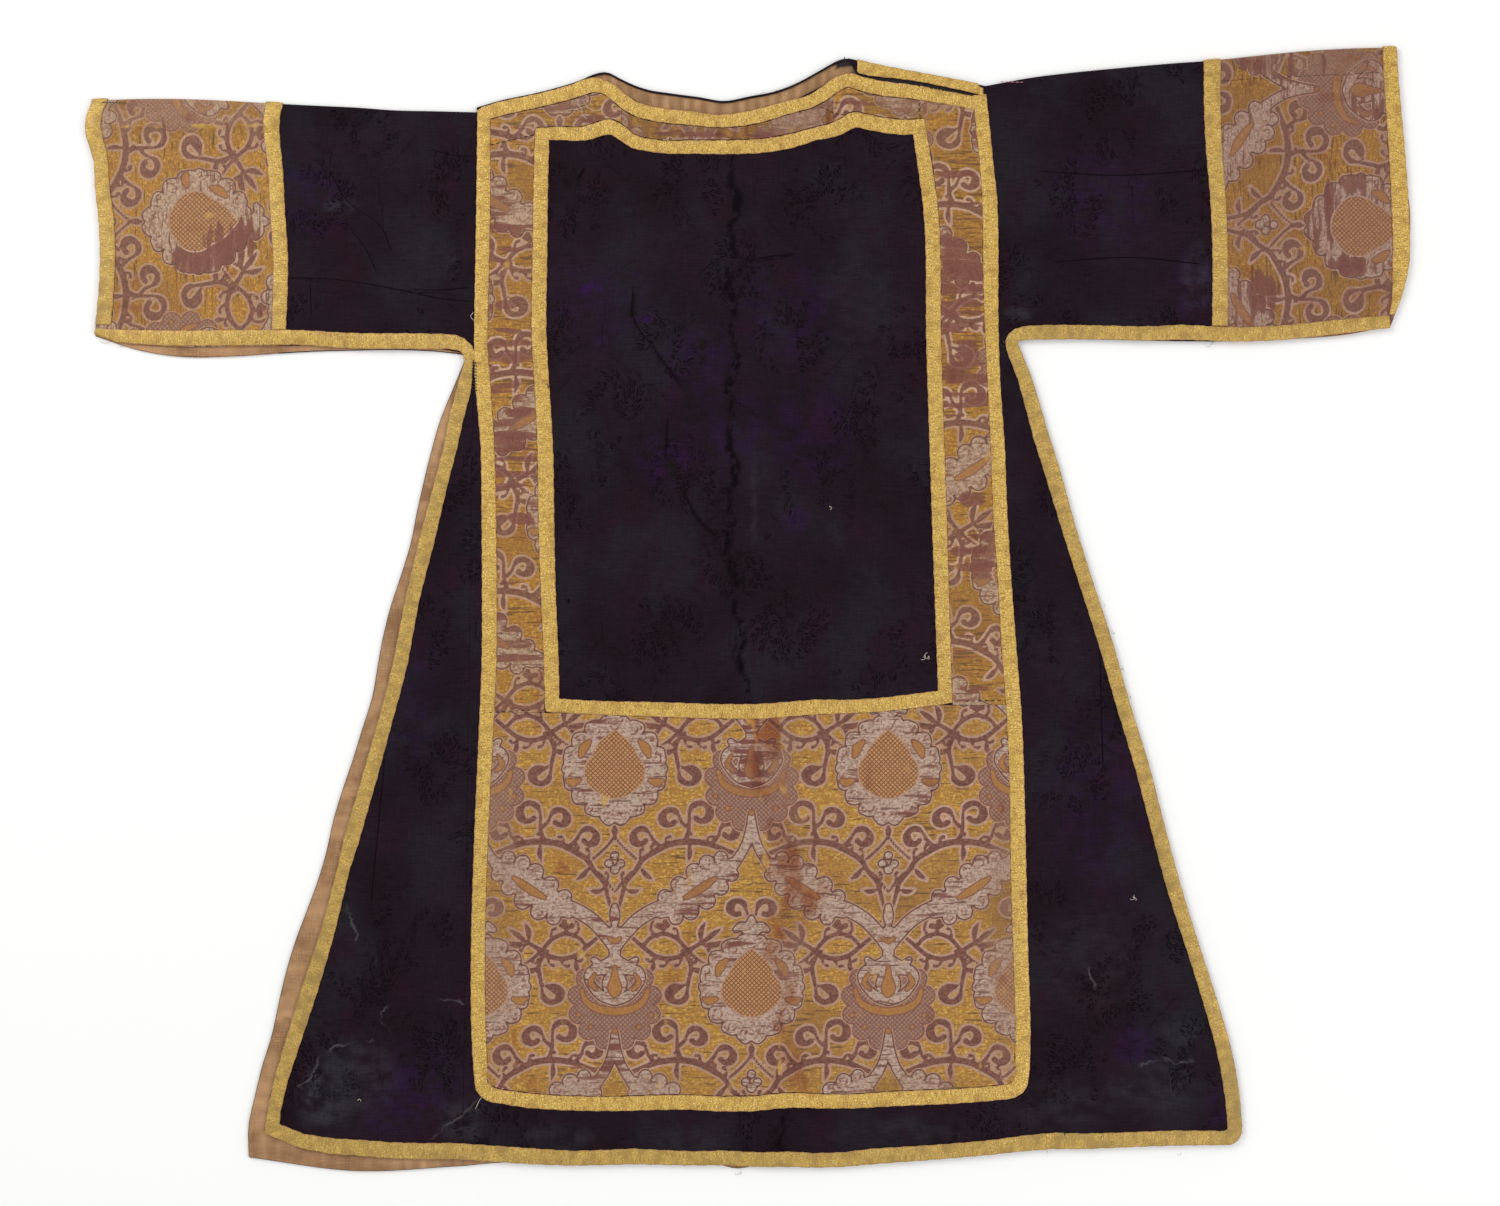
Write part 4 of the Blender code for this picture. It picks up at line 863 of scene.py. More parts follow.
@dataclass(frozen=True)
class Damask(Finish):
    """Silk damask, woven in one dark aubergine: a satin ground with sprigs in the duller weave."""

    name: str = "silk_damask_satin"
    slot: str = "damask"
    ground: str = "251722"
    deep: str = "1d1119"
    cool: str = "222026"
    warm: str = "28121d"
    # the sprigs' colour, also used for the painted shade along creases
    sprig_and_crease_shade: str = "0c040a"
    bloom: str = "39383d"
    faded: str = "301341"
    tide: str = "5f5b5d"
    thread_mm: float = 1.1  # the real satin has 40 threads to 10 mm: this is as fine as shows
    arms: int = 8  # shoots round the middle of a spray, and twice as many further out
    leaf_mm: float = 5.8  # from one leaf to the next along a shoot
    leaf_off_mm: float = 2.9  # from a shoot to the middle of its leaves, and half a leaf's length
    half_leaf_mm: float = 2.1
    spray_mm: float = 46.0  # from the middle of a spray to its tips
    drift_mm: float = 9.0  # how far a leaf may stray, from one side to the other
    tide_mm: float = 11.0  # how far a tide-mark wavers

    def sprigs(self, add: Adder, middle: Socket) -> Socket:
        """Sprays of leafy shoots.

        Args:
            add: adds one node to the material.
            middle: how far right and down of a spray's middle the cloth is, in millimetres.
        Returns:
            How much of a leaf or a shoot is there, from 0 to 1.
        """
        across, down, _ = add("SeparateXYZ", (middle,)).node.outputs
        reach = add("VectorMath", (middle,), "Value", operation="LENGTH")
        outer = add("Math", (reach, self.spray_mm * 0.45), operation="GREATER_THAN")
        arms = add("Math", (outer, self.arms, self.arms), **TIMES_PLUS)
        turn = add("Math", (down, across), operation="ARCTAN2")
        turn = add("Math", (turn, 1 / FULL_TURN), **TIMES)
        turn = add("Math", (reach, 0.004, turn), **TIMES_PLUS)
        share = add("Math", (add("Math", (turn, arms), **TIMES),), operation="FRACT")
        side = add("Math", (add("Math", (share, 0.5), **LESS), reach), **TIMES)
        side = add("Math", (add("Math", (side, arms), operation="DIVIDE"), FULL_TURN), **TIMES)
        off = add("Math", (side,), **SIZE_OF)
        right = add("Math", (side, 0.0), operation="GREATER_THAN")
        run = add("Math", (off, -1.1, reach), **TIMES_PLUS)
        run = add("Math", (run, 1 / self.leaf_mm), **TIMES)
        run = add("Math", (run, add("Math", (right, 0.5), **TIMES)), **PLUS)
        leaf = add("Math", (add("Math", (run,), operation="FRACT"), 0.5), **LESS)
        leaf = add("Math", (leaf,), **SIZE_OF)
        swell = add("Math", (add("Math", (off, self.leaf_off_mm), **LESS), 2.0), operation="POWER")
        swell = add("Math", (swell, -0.36 / self.half_leaf_mm ** 2, 0.36), **TIMES_PLUS)
        leaf = add("MapRange", (add("Math", (swell, leaf), **LESS), -0.05, 0.07), **STEP)
        twig = add("MapRange", (off, 0.8, 0.3), **STEP)
        tips = add("MapRange", (reach, self.spray_mm, self.spray_mm * 0.8), **STEP)
        return add("Math", (add("Math", (leaf, twig), operation="MAXIMUM"), tips), **TIMES)

    def mix(self, add: Adder) -> Socket:
        """Put the nodes together.

        Args:
            add: adds one node to the material.
        Returns:
            The shader.
        """
        thread = PER_METRE / self.thread_mm
        place = add("TexCoord", (), "Object")
        patches, mottled, blotted, weft, warp, astray, greyed, reddened, specked = (
            add("TexNoise", {"Vector": add("Mapping", {0: place, 3: scale}), "Scale": 1.0, "Detail": detail})
            for scale, detail in (((9, 11, 9), 4), ((60, 75, 60), 5), ((45, 30, 45), 4),
                                  ((110, thread, 110), 2), ((thread, 90, 90), 2), ((60, 60, 60), 2),
                                  ((13, 10, 13), 5), ((21, 17, 21), 5), ((150, 110, 90), 2)))
        (across, down, painted_shade), (purple, grey, tide), (beside, weight, from_tide) = (
            add("SeparateXYZ", (add("Attribute", (), "Vector", attribute_name=label),)).node.outputs
            for label in ("sprig_and_crease_shade", "stain", "crease_shade_and_tide"))
        across, down = (add("Math", (drift, self.drift_mm, way), **TIMES_PLUS)
                        for drift, way in ((astray, across), (mottled, down)))
        drift = (self.drift_mm / 2, self.drift_mm / 2, 0)
        middle = add("VectorMath", (add("CombineXYZ", (across, down)), drift), operation="SUBTRACT")
        inside = self.sprigs(add, middle)
        for kept in (add("MapRange", (blotted, 0.45, 0.55), **STEP),
                     add("MapRange", (specked, 0.36, 0.5), **STEP)):
            inside = add("Math", (inside, kept), **TIMES)
        weave = add("Mix", {0: 0.4, 2: weft, 3: warp})
        colour = add("Mix", {0: add("MapRange", (patches, 0.35, 0.7), **STEP),
                             6: self.deep, 7: self.ground}, **OVER)
        mottled = add("MapRange", (mottled, 0.35, 0.65), **STEP)
        from_tide = add("Math", (from_tide, self.tide_mm / 2), **LESS)
        from_tide = add("Math", (specked, self.tide_mm, from_tide), **TIMES_PLUS)
        lined = add("MapRange", (add("Math", (from_tide,), **SIZE_OF), 2.2, 0.2, 0.0, 0.5), **STEP)
        lined = add("Math", (lined, add("MapRange", (blotted, 0.4, 0.6), **STEP)), **TIMES)
        crease_shade = add("MapRange", (add("Math", (beside,), **SIZE_OF), 1.0, 0.35), **STEP)
        speckled = add("MapRange", (specked, 0.38, 0.52), **STEP)
        greyed = add("MapRange", (greyed, 0.46, 0.66), **STEP)
        reddened = add("MapRange", (reddened, 0.52, 0.68), **STEP)
        # Two of these tones are painted shade along creases, in the sprigs' colour.
        for first, second, tone in (
                (greyed, 0.75, self.cool), (reddened, 0.6, self.warm), (purple, mottled, self.faded),
                (grey, mottled, self.bloom), (inside, 0.85, self.sprig_and_crease_shade), (painted_shade, speckled, self.sprig_and_crease_shade),
                (tide, lined, self.tide), (weight, crease_shade, self.sprig_and_crease_shade)):
            share = add("Math", (first, second), **TIMES)
            colour = add("Mix", {0: share, 6: colour, 7: tone}, **OVER)
        grain = add("MapRange", (weave, 0.3, 0.7, 0.62, 1.2))
        colour = add("Mix", {0: 1.0, 6: colour, 7: grain}, **TINTING)
        gloss = add("Math", (weave, 0.24, 0.36), **TIMES_PLUS)
        gloss = add("Math", (inside, 0.2, gloss), **TIMES_PLUS)
        raised = add("Bump", {"Height": weave, "Distance": 0.16 * MILLIMETRE, "Strength": 0.6})
        return add("BsdfPrincipled", {"Base Color": colour, "Roughness": gloss, "Specular IOR Level": 0.05,
                                      "Sheen Weight": 0.01, "Sheen Roughness": 0.4, "Normal": raised})

    def fields(self, name: str, across: Array, down: Array) -> dict[str, Array]:
        """How far each point is from the nearest spray, the marks of use, and the painted shade along
        creases.

        Args:
            name: the piece's name.
            across: its points across.
            down: its points down.
        Returns:
            Its named values, three to a point.
        """
        from_middle = np.stack([np.stack([(across - x + wide / 2) % wide - wide / 2,
                                          (down - y + tall / 2) % tall - tall / 2])
                                for (wide, tall), (x, y) in ((SPRAY_TILE, middle) for middle in SPRAYS)])
        nearest = np.hypot(from_middle[:, 0], from_middle[:, 1]).argmin(axis=0)
        offset = np.take_along_axis(from_middle, nearest[None, None], axis=0)[0]
        # Painted shade along the small creases, laid in the sprigs' colour.
        painted_shade = eased(1 - SHADED_CREASE_LINES.distance(across, down) / 2.5)
        # On the front panel, a wavering line of painted shade beside the centre crease.
        if name == "front_panel":
            astray = 3 * np.sin(down * 0.117) + 2.5 * np.sin(down * 0.047 + 1) + 1.5 * np.sin(down * 0.31)
            beside = np.abs(across - edge_through(CENTRE)(down) + 2 + astray)
            painted_shade = np.maximum(painted_shade, eased(1.4 - beside / (4.2 + 1.6 * np.sin(down * 0.071))))
        # How far each point lies beside the nearest set-in crease, for painted shade along it, and beside
        # the nearest tide-mark.
        beside, weight = beside_nearest(PRESSED, across, down)
        from_tide, tide = beside_nearest(TIDES, across, down)
        return {"sprig_and_crease_shade": np.stack([offset[0], offset[1], painted_shade], -1),
                "crease_shade_and_tide": np.stack([beside, weight, from_tide], -1),
                "stain": np.stack([marked(PURPLE, across, down), marked(GREY, across, down), tide], -1)}


@dataclass(frozen=True)
class Lining(Finish):
    """Plain tan cotton tabby, which is matt and shows its threads both ways."""

    name: str = "cotton_tabby"
    slot: str = "lining"
    ground: str = "b98f66"
    # a darker tone for clouds and stains, and for the painted shade across the gathers
    deep: str = "7f5a38"
    pale: str = "cba278"
    shadow: str = "1b1213"
    thread_mm: float = 1.0  # the real tabby has 20 threads to 10 mm: this is as fine as shows

    def mix(self, add: Adder) -> Socket:
        """Put the nodes together.

        Args:
            add: adds one node to the material.
        Returns:
            The shader.
        """
        thread = PER_METRE / self.thread_mm
        place = add("TexCoord", (), "Object")
        weft, warp, clouds, stains = (
            add("TexNoise", {"Vector": add("Mapping", {0: place, 3: scale}), "Scale": 1.0, "Detail": detail})
            for scale, detail in (((80, thread, 80), 2), ((thread, 80, 80), 2), ((22, 26, 22), 4),
                                  ((50, 40, 50), 5)))
        shade = add("Attribute", (), "Vector", attribute_name="shade")
        painted_shade, pucker_shade, _ = add("SeparateXYZ", (shade,)).node.outputs
        weave = add("Math", (weft, warp), **TIMES)
        colour = self.ground
        # Clouds and stains darken it at random; the last two tones are painted shade across the gathers and
        # painted shadow in the slit.
        for share, tone in ((add("MapRange", (clouds, 0.66, 0.3, 0.0, 0.8), **STEP), self.deep),
                            (add("MapRange", (weave, 0.2, 0.42, 0.0, 0.5), **STEP), self.pale),
                            (add("MapRange", (stains, 0.52, 0.72, 0.0, 0.75), **STEP), self.deep),
                            (add("Math", (pucker_shade, 0.7), **TIMES), self.deep), (painted_shade, self.shadow)):
            colour = add("Mix", {0: share, 6: colour, 7: tone}, **OVER)
        raised = add("Bump", {"Height": weave, "Distance": 0.2 * MILLIMETRE, "Strength": 0.7})
        return add("BsdfPrincipled", {"Base Color": colour, "Roughness": 0.85, "Sheen Weight": 0.05,
                                      "Normal": raised})

    def fields(self, name: str, across: Array, down: Array) -> dict[str, Array]:
        """Painted shadow in the shoulder's slit, and painted shade in stripes across the gathers.

        Args:
            name: the piece's name, which is not used.
            across: its points across.
            down: its points down.
        Returns:
            Its named values, three to a point.
        """
        # Painted shadow in the shoulder's slit, with a patch of it by the slit's left end.
        slit = edge_through(SHOULDER_SLIT)(across)
        painted_shade = eased((across - 846) / 10) * eased(1.6 - np.abs(down - slit) / 12)
        painted_shade = np.maximum(painted_shade, Patch(843, 63, 15, 7, 1.7).weight(across, down))
        # Painted shade in stripes across the gathers at the neck, at the hem and down the left side.
        pucker_shade = puckers(across) * (eased((140 - down) / 20) + 0.7 * eased((down - 1126) / 8))
        pucker_shade = pucker_shade + 0.55 * puckers(0.7 * down) * eased((430 - across) / 20) * eased((down - 380) / 30)
        return {"shade": np.stack([painted_shade, pucker_shade, 0 * painted_shade], -1)}


@dataclass(frozen=True)
class Brocade(Finish):
    """Silk brocade: a gilt weft ground that glints in flecks, and figures in plum and silver-grey silk."""

    name: str = "silk_brocade_gilt"
    slot: str = "brocade"
    ground: str = "b17e2e"
    shade: str = "92622a"
    # painted glints on the gilt floats, and painted highlights on creases and rolls
    light: str = "cda048"
    vine: str = "83503f"
    halo: str = "b38b72"
    plum: str = "693b2e"
    silver: str = "bea291"
    tarnish: str = "9c7a65"
    lattice: str = "80492f"
    gilt: str = "bd8c56"
    orange: str = "a87236"
    bared: str = "7b4437"  # the silk under it where the gilt thread has gone
    frayed: str = "d8b2a2"
    broken: str = "5c3d1c"  # the dark gap where a gilt thread is missing
    smoke: str = "fff8cf"
    soot: str = "ebe4ee"
    # the tint of rusty stains and of painted shade
    rust_and_shade: str = "d09a6c"
    dulled: str = "80582a"
    faded: str = "9a745a"
    net_mm: float = 4.6  # from one diagonal of the netting to the next
    weft_mm: float = 1.0  # the real ground has 25 wefts to 10 mm: this is as fine as shows
    DULLNESS: ClassVar[dict[str, float]] = {"cuff_right": 0.26, "cuff_left": 0.15,
                                            "brocade_column_left": 0.2, "brocade_column_right": 0.2}
    SOOTY: ClassVar[dict[str, float]] = {"cuff_right": 0.85, "brocade_neck_band": 0.7}
    YELLOWED: ClassVar[dict[str, float]] = {
        "brocade_column_left": 1.0, "brocade_column_right": 1.0, "cuff_left": 0.9, "cuff_right": 0.5,
        "brocade_neck_band": 1.0, "brocade_shoulder_left": 0.7, "brocade_shoulder_right": 0.7}

    def netted(self, add: Adder, across: Socket, down: Socket) -> Socket:
        """Fine diagonal netting.

        Args:
            add: adds one node to the material.
            across: how far right the cloth is, in millimetres.
            down: how far down.
        Returns:
            0 on the net and 1 in its meshes.
        """
        diagonals = []
        for way in ("ADD", "SUBTRACT"):
            along = add("Math", (across, down), operation=way)
            along = add("Math", (along, math.pi / self.net_mm), **TIMES)
            diagonals.append(add("Math", (add("Math", (along,), operation="SINE"),), **SIZE_OF))
        nearest = add("Math", dict(enumerate(diagonals)), operation="MINIMUM")
        return add("MapRange", (nearest, 0.3, 0.6), **STEP)

    def silvered(self, add: Adder, floats: Socket, breaks: Socket, threadbare: Socket) -> Socket:
        """The silver-grey silk of the leaves.

        Args:
            add: adds one node to the material.
            floats: a grain as fine as single floats.
            breaks: a grain of short streaks.
            threadbare: a value that is high where the silk has gone.
        Returns:
            The colour.
        """
        silver = self.silver
        for share, tone in ((add("MapRange", (floats, 0.56, 0.36), **STEP), self.tarnish),
                            (add("MapRange", (breaks, 0.58, 0.66, 0.0, 0.85), **STEP), self.plum),
                            (add("MapRange", (threadbare, 0.6, 0.68), **STEP), self.bared)):
            silver = add("Mix", {0: share, 6: silver, 7: tone}, **OVER)
        return silver

    def mix(self, add: Adder) -> Socket:
        """Put the nodes together.

        Args:
            add: adds one node to the material.
        Returns:
            The shader.
        """
        ((vine, leaf, mesh), (field, cut, curl), (rust_and_shade, painted_highlight, dull), (across, down, wear),
         (yellowed, sooty, turned)) = (
            add("SeparateXYZ", (add("Attribute", (), "Vector", attribute_name=label),)).node.outputs
            for label in ("figure", "filling", "marks", "use", "age"))
        place = add("TexCoord", (), "Object")
        x, y, z = add("SeparateXYZ", (place,)).node.outputs
        sideways = add("CombineXYZ", (y, x, z))
        place = add("Mix", {0: turned, 4: place, 5: sideways}, 1, data_type="VECTOR")
        weft, floats, clouds, breaks, worn, rust_and_shade_grain, highlight_grain, warp, pick = (
            add("TexNoise", {"Vector": add("Mapping", {0: place, 3: scale}), "Scale": 1.0, "Detail": detail})
            for scale, detail in (
                ((60, PER_METRE / self.weft_mm, 60), 3), ((330, 480, 260), 1), ((7, 9, 7), 3),
                ((40, 420, 40), 2), ((18, 130, 18), 4), ((46, 22, 46), 5), ((60, 30, 60), 3),
                ((900, 260, 300), 2), ((260, 900, 300), 2)))
        colour = self.ground
        # A grain of weft and clouds, with painted glints where the gilt floats lie.
        for share, tone in ((add("MapRange", (weft, 0.5, 0.34, 0.0, 0.75), **STEP), self.shade),
                            (add("MapRange", (floats, 0.52, 0.66), **STEP), self.light),
                            (add("MapRange", (clouds, 0.44, 0.74, 0.0, 0.8), **STEP), self.shade)):
            colour = add("Mix", {0: share, 6: colour, 7: tone}, **OVER)
        colour = add("Mix", {0: yellowed, 6: colour, 7: self.smoke}, **TINTING)
        gaps = add("Math", (wear, 0.1, breaks), **TIMES_PLUS)
        gaps = add("MapRange", (gaps, 0.6, 0.68, 0.0, 0.8), **STEP)
        colour = add("Mix", {0: gaps, 6: colour, 7: self.broken}, **OVER)
        net = self.netted(add, across, down)
        threadbare = add("Math", (wear, 0.3, worn), **TIMES_PLUS)
        silver = self.silvered(add, floats, breaks, threadbare)
        fraying = add("Math", (wear, 0.8), **TIMES)
        floated = add("MapRange", (floats, 0.35, 0.65), **STEP)
        halo, orange, plum, lattice, netting = (
            add("Mix", {0: share, 6: first, 7: second}, **OVER) for share, first, second in (
                (fraying, self.halo, self.frayed), (wear, self.orange, self.vine),
                (floated, self.plum, self.vine), (net, self.lattice, self.gilt),
                (net, self.vine, self.tarnish)))
        for value, outside, inside, tone in (
                (vine, 1.9, 1.2, halo), (vine, -0.3, -1.1, plum),
                (mesh, 2.4, 1.6, halo), (mesh, 1.3, 0.7, self.vine), (mesh, 0.0, -0.7, netting),
                (leaf, 2.6, 1.9, halo), (leaf, 1.6, 0.9, self.plum), (leaf, 0.2, -0.5, silver),
                (field, 1.3, 0.6, halo), (field, 0.0, -0.6, lattice), (curl, 0.3, -0.5, self.vine),
                (cut, 1.7, 1.0, self.vine), (cut, 0.5, -0.2, orange)):
            share = add("MapRange", (value, outside, inside), **STEP)
            colour = add("Mix", {0: share, 6: colour, 7: tone}, **OVER)
        figure = add("Math", (add("Math", (vine, leaf), operation="MINIMUM"), mesh),
                     operation="MINIMUM")
        figured = add("MapRange", (figure, 1.5, -0.3), **STEP)
        dulled = add("Mix", {0: figured, 6: self.dulled, 7: self.faded}, **OVER)
        colour = add("Mix", {0: dull, 6: colour, 7: dulled}, **OVER)
        # Worn patches bare the silk; painted highlights lighten creases and rolls; rusty stains and painted
        # shade tint it darker.
        for grain, much, low, high, most, tone, blend in (
                (worn, wear, 0.76, 0.82, 0.85, self.bared, OVER),
                (highlight_grain, painted_highlight, 0.66, 0.8, 0.8, self.light, OVER),
                (rust_and_shade_grain, rust_and_shade, 0.56, 0.86, 1.0, self.rust_and_shade, TINTING)):
            amount = add("Math", (much, 0.3, grain), **TIMES_PLUS)
            amount = add("MapRange", (amount, low, high, 0.0, most), **STEP)
            colour = add("Mix", {0: amount, 6: colour, 7: tone}, **blend)
        for share, tone in ((add("Math", (yellowed, 0.4), **TIMES), self.smoke), (sooty, self.soot)):
            colour = add("Mix", {0: share, 6: colour, 7: tone}, **TINTING)
        grain = add("Math", (warp, pick), **TIMES)
        grain = add("MapRange", (grain, 0.14, 0.4, 0.72, 1.08))
        colour = add("Mix", {0: 1.0, 6: colour, 7: grain}, **TINTING)
        height = add("Math", (weft, 0.6), **TIMES)
        height = add("Math", (figured, 0.5, height), **TIMES_PLUS)
        raised = add("Bump", {"Height": height, "Distance": 0.35 * MILLIMETRE, "Strength": 0.7})
        gloss = add("Math", (weft, 0.3, 0.38), **TIMES_PLUS)
        return add("BsdfPrincipled", {"Base Color": colour, "Roughness": gloss, "Metallic": 0.1,
                                      "Sheen Weight": 0.1, "Normal": raised})

    def fields(self, name: str, across: Array, down: Array) -> dict[str, Array]:
        """The distances to each of its figures, where it is worn, its rusty patches with painted shade, and
        its painted highlights.

        Args:
            name: the piece's name.
            across: its points across.
            down: its points down.
        Returns:
            Its named values, three to a point.
        """
        families = REPEATS[name].families(across, down)
        vine, leaf, mesh, field, cut, curl = (
            np.min([drawing.distance(*family) for family in families], axis=0)
            for drawing in (VINES, LEAVES, NETTED, FIELDS, CUTS_IN, CURLS))
        rust_and_shade, painted_highlight = marked(RUST_AND_SHADE, across, down), marked(PAINTED_HIGHLIGHTS, across, down)
        # Beside the foot's crease: painted shade to its right and a painted highlight to its left.
        if name == "brocade_foot":
            beside = across - edge_through(CENTRE)(down)
            rust_and_shade = np.maximum(rust_and_shade, eased(1.3 - np.abs(beside - 5) / 17) * 0.5)
            painted_highlight = np.maximum(painted_highlight, eased(1.3 - np.abs(beside + 5) / 3) * 0.3)
        dull = np.maximum(marked(DULL, across, down), self.DULLNESS.get(name, 0.0))
        if name == "brocade_neck_band":
            # Painted shade in stripes across the neck band's gathers, through its dullness and its rusty
            # tint, over an even dullness.
            dull = np.maximum(dull, 0.4 + 0.4 * puckers(across))
            rust_and_shade = np.maximum(rust_and_shade, 0.5 * puckers(across))
        yellowed, sooty, sideways = (np.full(across.shape, float(value)) for value in (
            self.YELLOWED.get(name, 0.0), self.SOOTY.get(name, 0.0), REPEATS[name].sideways))
        return {"figure": np.stack([vine, leaf, mesh], -1), "filling": np.stack([field, cut, curl], -1),
                "marks": np.stack([rust_and_shade, painted_highlight, dull], -1),
                "use": np.stack([across, down, marked(WORN, across, down)], -1),
                "age": np.stack([yellowed, sooty, sideways], -1)}


@dataclass(frozen=True)
class Galloon(Finish):
    """Woven gold galloon: gilt weft over a tan warp, which glints in short flecks."""

    name: str = "gilt_thread_galloon"
    slot: str = "braid"
    gold: str = "cea74a"
    dull: str = "996e25"
    warp: str = "6a4a20"
    # painted glints of the gilt weft, in short flecks
    pale: str = "ffe69c"
    # painted shade along both edges of the galloon
    edge: str = "a87b50"
    handled: str = "997d44"  # where hands and the table have dulled it
    rib_mm: float = 1.3  # the real wefts lie 0.6 mm apart: this is as fine as shows
    DULLNESS: ClassVar[dict[str, float]] = {
        "hem_braid": 0.42, "sleeve_hem_braid_left": 0.2, "sleeve_hem_braid_right": 0.32,
        "panel_braid": 0.05, "band_braid_right": 0.22, "band_braid_left": 0.15, "cuff_braid_left": 0.3}

    def mix(self, add: Adder) -> Socket:
        """Put the nodes together.

        Args:
            add: adds one node to the material.
        Returns:
            The shader.
        """
        threads, age = (add("Attribute", (), "Vector", attribute_name=label) for label in ("cloth", "age"))
        along, beside, width = add("SeparateXYZ", (threads,)).node.outputs
        handled, _, _ = add("SeparateXYZ", (age,)).node.outputs
        wefts, flecks, specks, clouds, fine = (
            add("TexNoise", {"Vector": add("Mapping", {0: threads, 3: scale}), "Scale": 1, "Detail": detail})
            for scale, detail in (((0.85, 0.12, 0), 3), ((0.75, 0.6, 0), 1), ((0.5, 0.7, 0), 1),
                                  ((0.09, 0.06, 0), 3), ((1.1, 1.1, 0), 2)))
        ribs = add("Math", (add("Math", (along, FULL_TURN / self.rib_mm), **TIMES),), operation="SINE")
        # How near each point is to an edge, for the painted shade there.
        rim = add("Math", (width, add("Math", (beside,), **SIZE_OF)), **LESS)
        colour = self.gold
        # Weave and clouds in duller gold, warp specks, painted glints in the pale tone, and painted shade
        # along both edges.
        for grain, low, high, most, tone in (
                (wefts, 0.52, 0.36, 0.8, self.dull), (flecks, 0.56, 0.68, 0.8, self.pale),
                (specks, 0.38, 0.28, 0.7, self.warp), (clouds, 0.46, 0.7, 0.55, self.dull),
                (fine, 0.44, 0.3, 0.65, self.dull), (fine, 0.58, 0.7, 0.65, self.pale),
                (rim, 1.3, 0.2, 0.7, self.edge)):
            share = add("MapRange", (grain, low, high, 0.0, most), **STEP)
            colour = add("Mix", {0: share, 6: colour, 7: tone}, **OVER)
        cloudy = add("MapRange", (clouds, 0.3, 0.7, 0.4, 1.6))
        share = add("Math", (handled, cloudy), **TIMES)
        colour = add("Mix", {0: share, 6: colour, 7: self.handled}, **OVER)
        height = add("Math", (ribs, 0.12, wefts), **TIMES_PLUS)
        height = add("Math", (flecks, 0.3, height), **TIMES_PLUS)
        raised = add("Bump", {"Height": height, "Distance": 0.25 * MILLIMETRE, "Strength": 0.6})
        return add("BsdfPrincipled", {"Base Color": colour, "Roughness": 0.46, "Metallic": 0.25,
                                      "Normal": raised})

    def fields(self, name: str, across: Array, down: Array) -> dict[str, Array]:
        """How far it has been dulled by handling."""
        age = np.clip(self.DULLNESS.get(name, 0.0) + marked(HANDLED, across, down), 0, 1)
        return {"age": np.stack([age, 0 * age, 0 * age], -1)}


# ------ pieces of cloth

class Hold(Enum):
    """How a piece of cloth is held."""

    LAID = "laid"
    FOLDED = "folded"


WALLS = {"damask": CLOTH, "lining": LINING, "brocade": BROCADE, "braid": BRAID}  # by the finish's slot

# Across, down, the skin that is seen, the skin under it, and the threads' own millimetres.
Grid = tuple[Array, Array, Array, Array, Array]
Span = tuple[float, float, float]


def cloth_area(node: str, wall: float) -> float:
    """How much cloth is in a solid: its volume over the thickness of its wall.

    Args:
        node: the solid's name.
        wall: the thickness in millimetres.
    Returns:
        The flat area in square metres.
    """
    copy = solid_copy(node)
    area = abs(copy.calc_volume(signed=True)) / (wall * MILLIMETRE)
    copy.free()
    return area


def longest(points: Array, axis: int) -> float:
    """The longest row (axis 1) or column (axis 0) of a grid of points, to a tenth of a millimetre."""
    return round(float(np.linalg.norm(np.diff(points, axis=axis), axis=-1).sum(axis=axis).max()), 4)


@dataclass
class Piece:
    """One piece of cloth, which takes its outline from the solid of the same name."""

    node: str
    finish: Finish
    rests_on: tuple[str, ...]

    def grid(self) -> Grid:
        """Its points by rows and columns, which each shape of piece works out in its own way."""
        raise NotImplementedError

    def held(self) -> Hold:
        """How its cloth is held."""
        return Hold.LAID

    def wall(self) -> float:
        """How thick its solid is, in millimetres."""
        return WALLS[self.finish.slot]

    def build(self) -> Object:
        """Make the piece, dress it and log its size.

        Returns:
            The finished object.
        """
        across, down, outer, inner, threads = self.grid()
        fields = {"cloth": threads, **self.finish.fields(self.node, across, down)}
        piece = closed_sheet(self.node + "_woven", outer, inner, fields)
        piece.data.materials.append(self.finish.material())
        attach(piece, "root")
        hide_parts(self.node)
        round(cloth_area(self.node, self.wall()), 6)
        area = sum(face.area for face in piece.data.polygons) / 2
        LOG.info("%s: %d faces, %.4f square metres", piece.name, len(piece.data.polygons), area)
        return piece


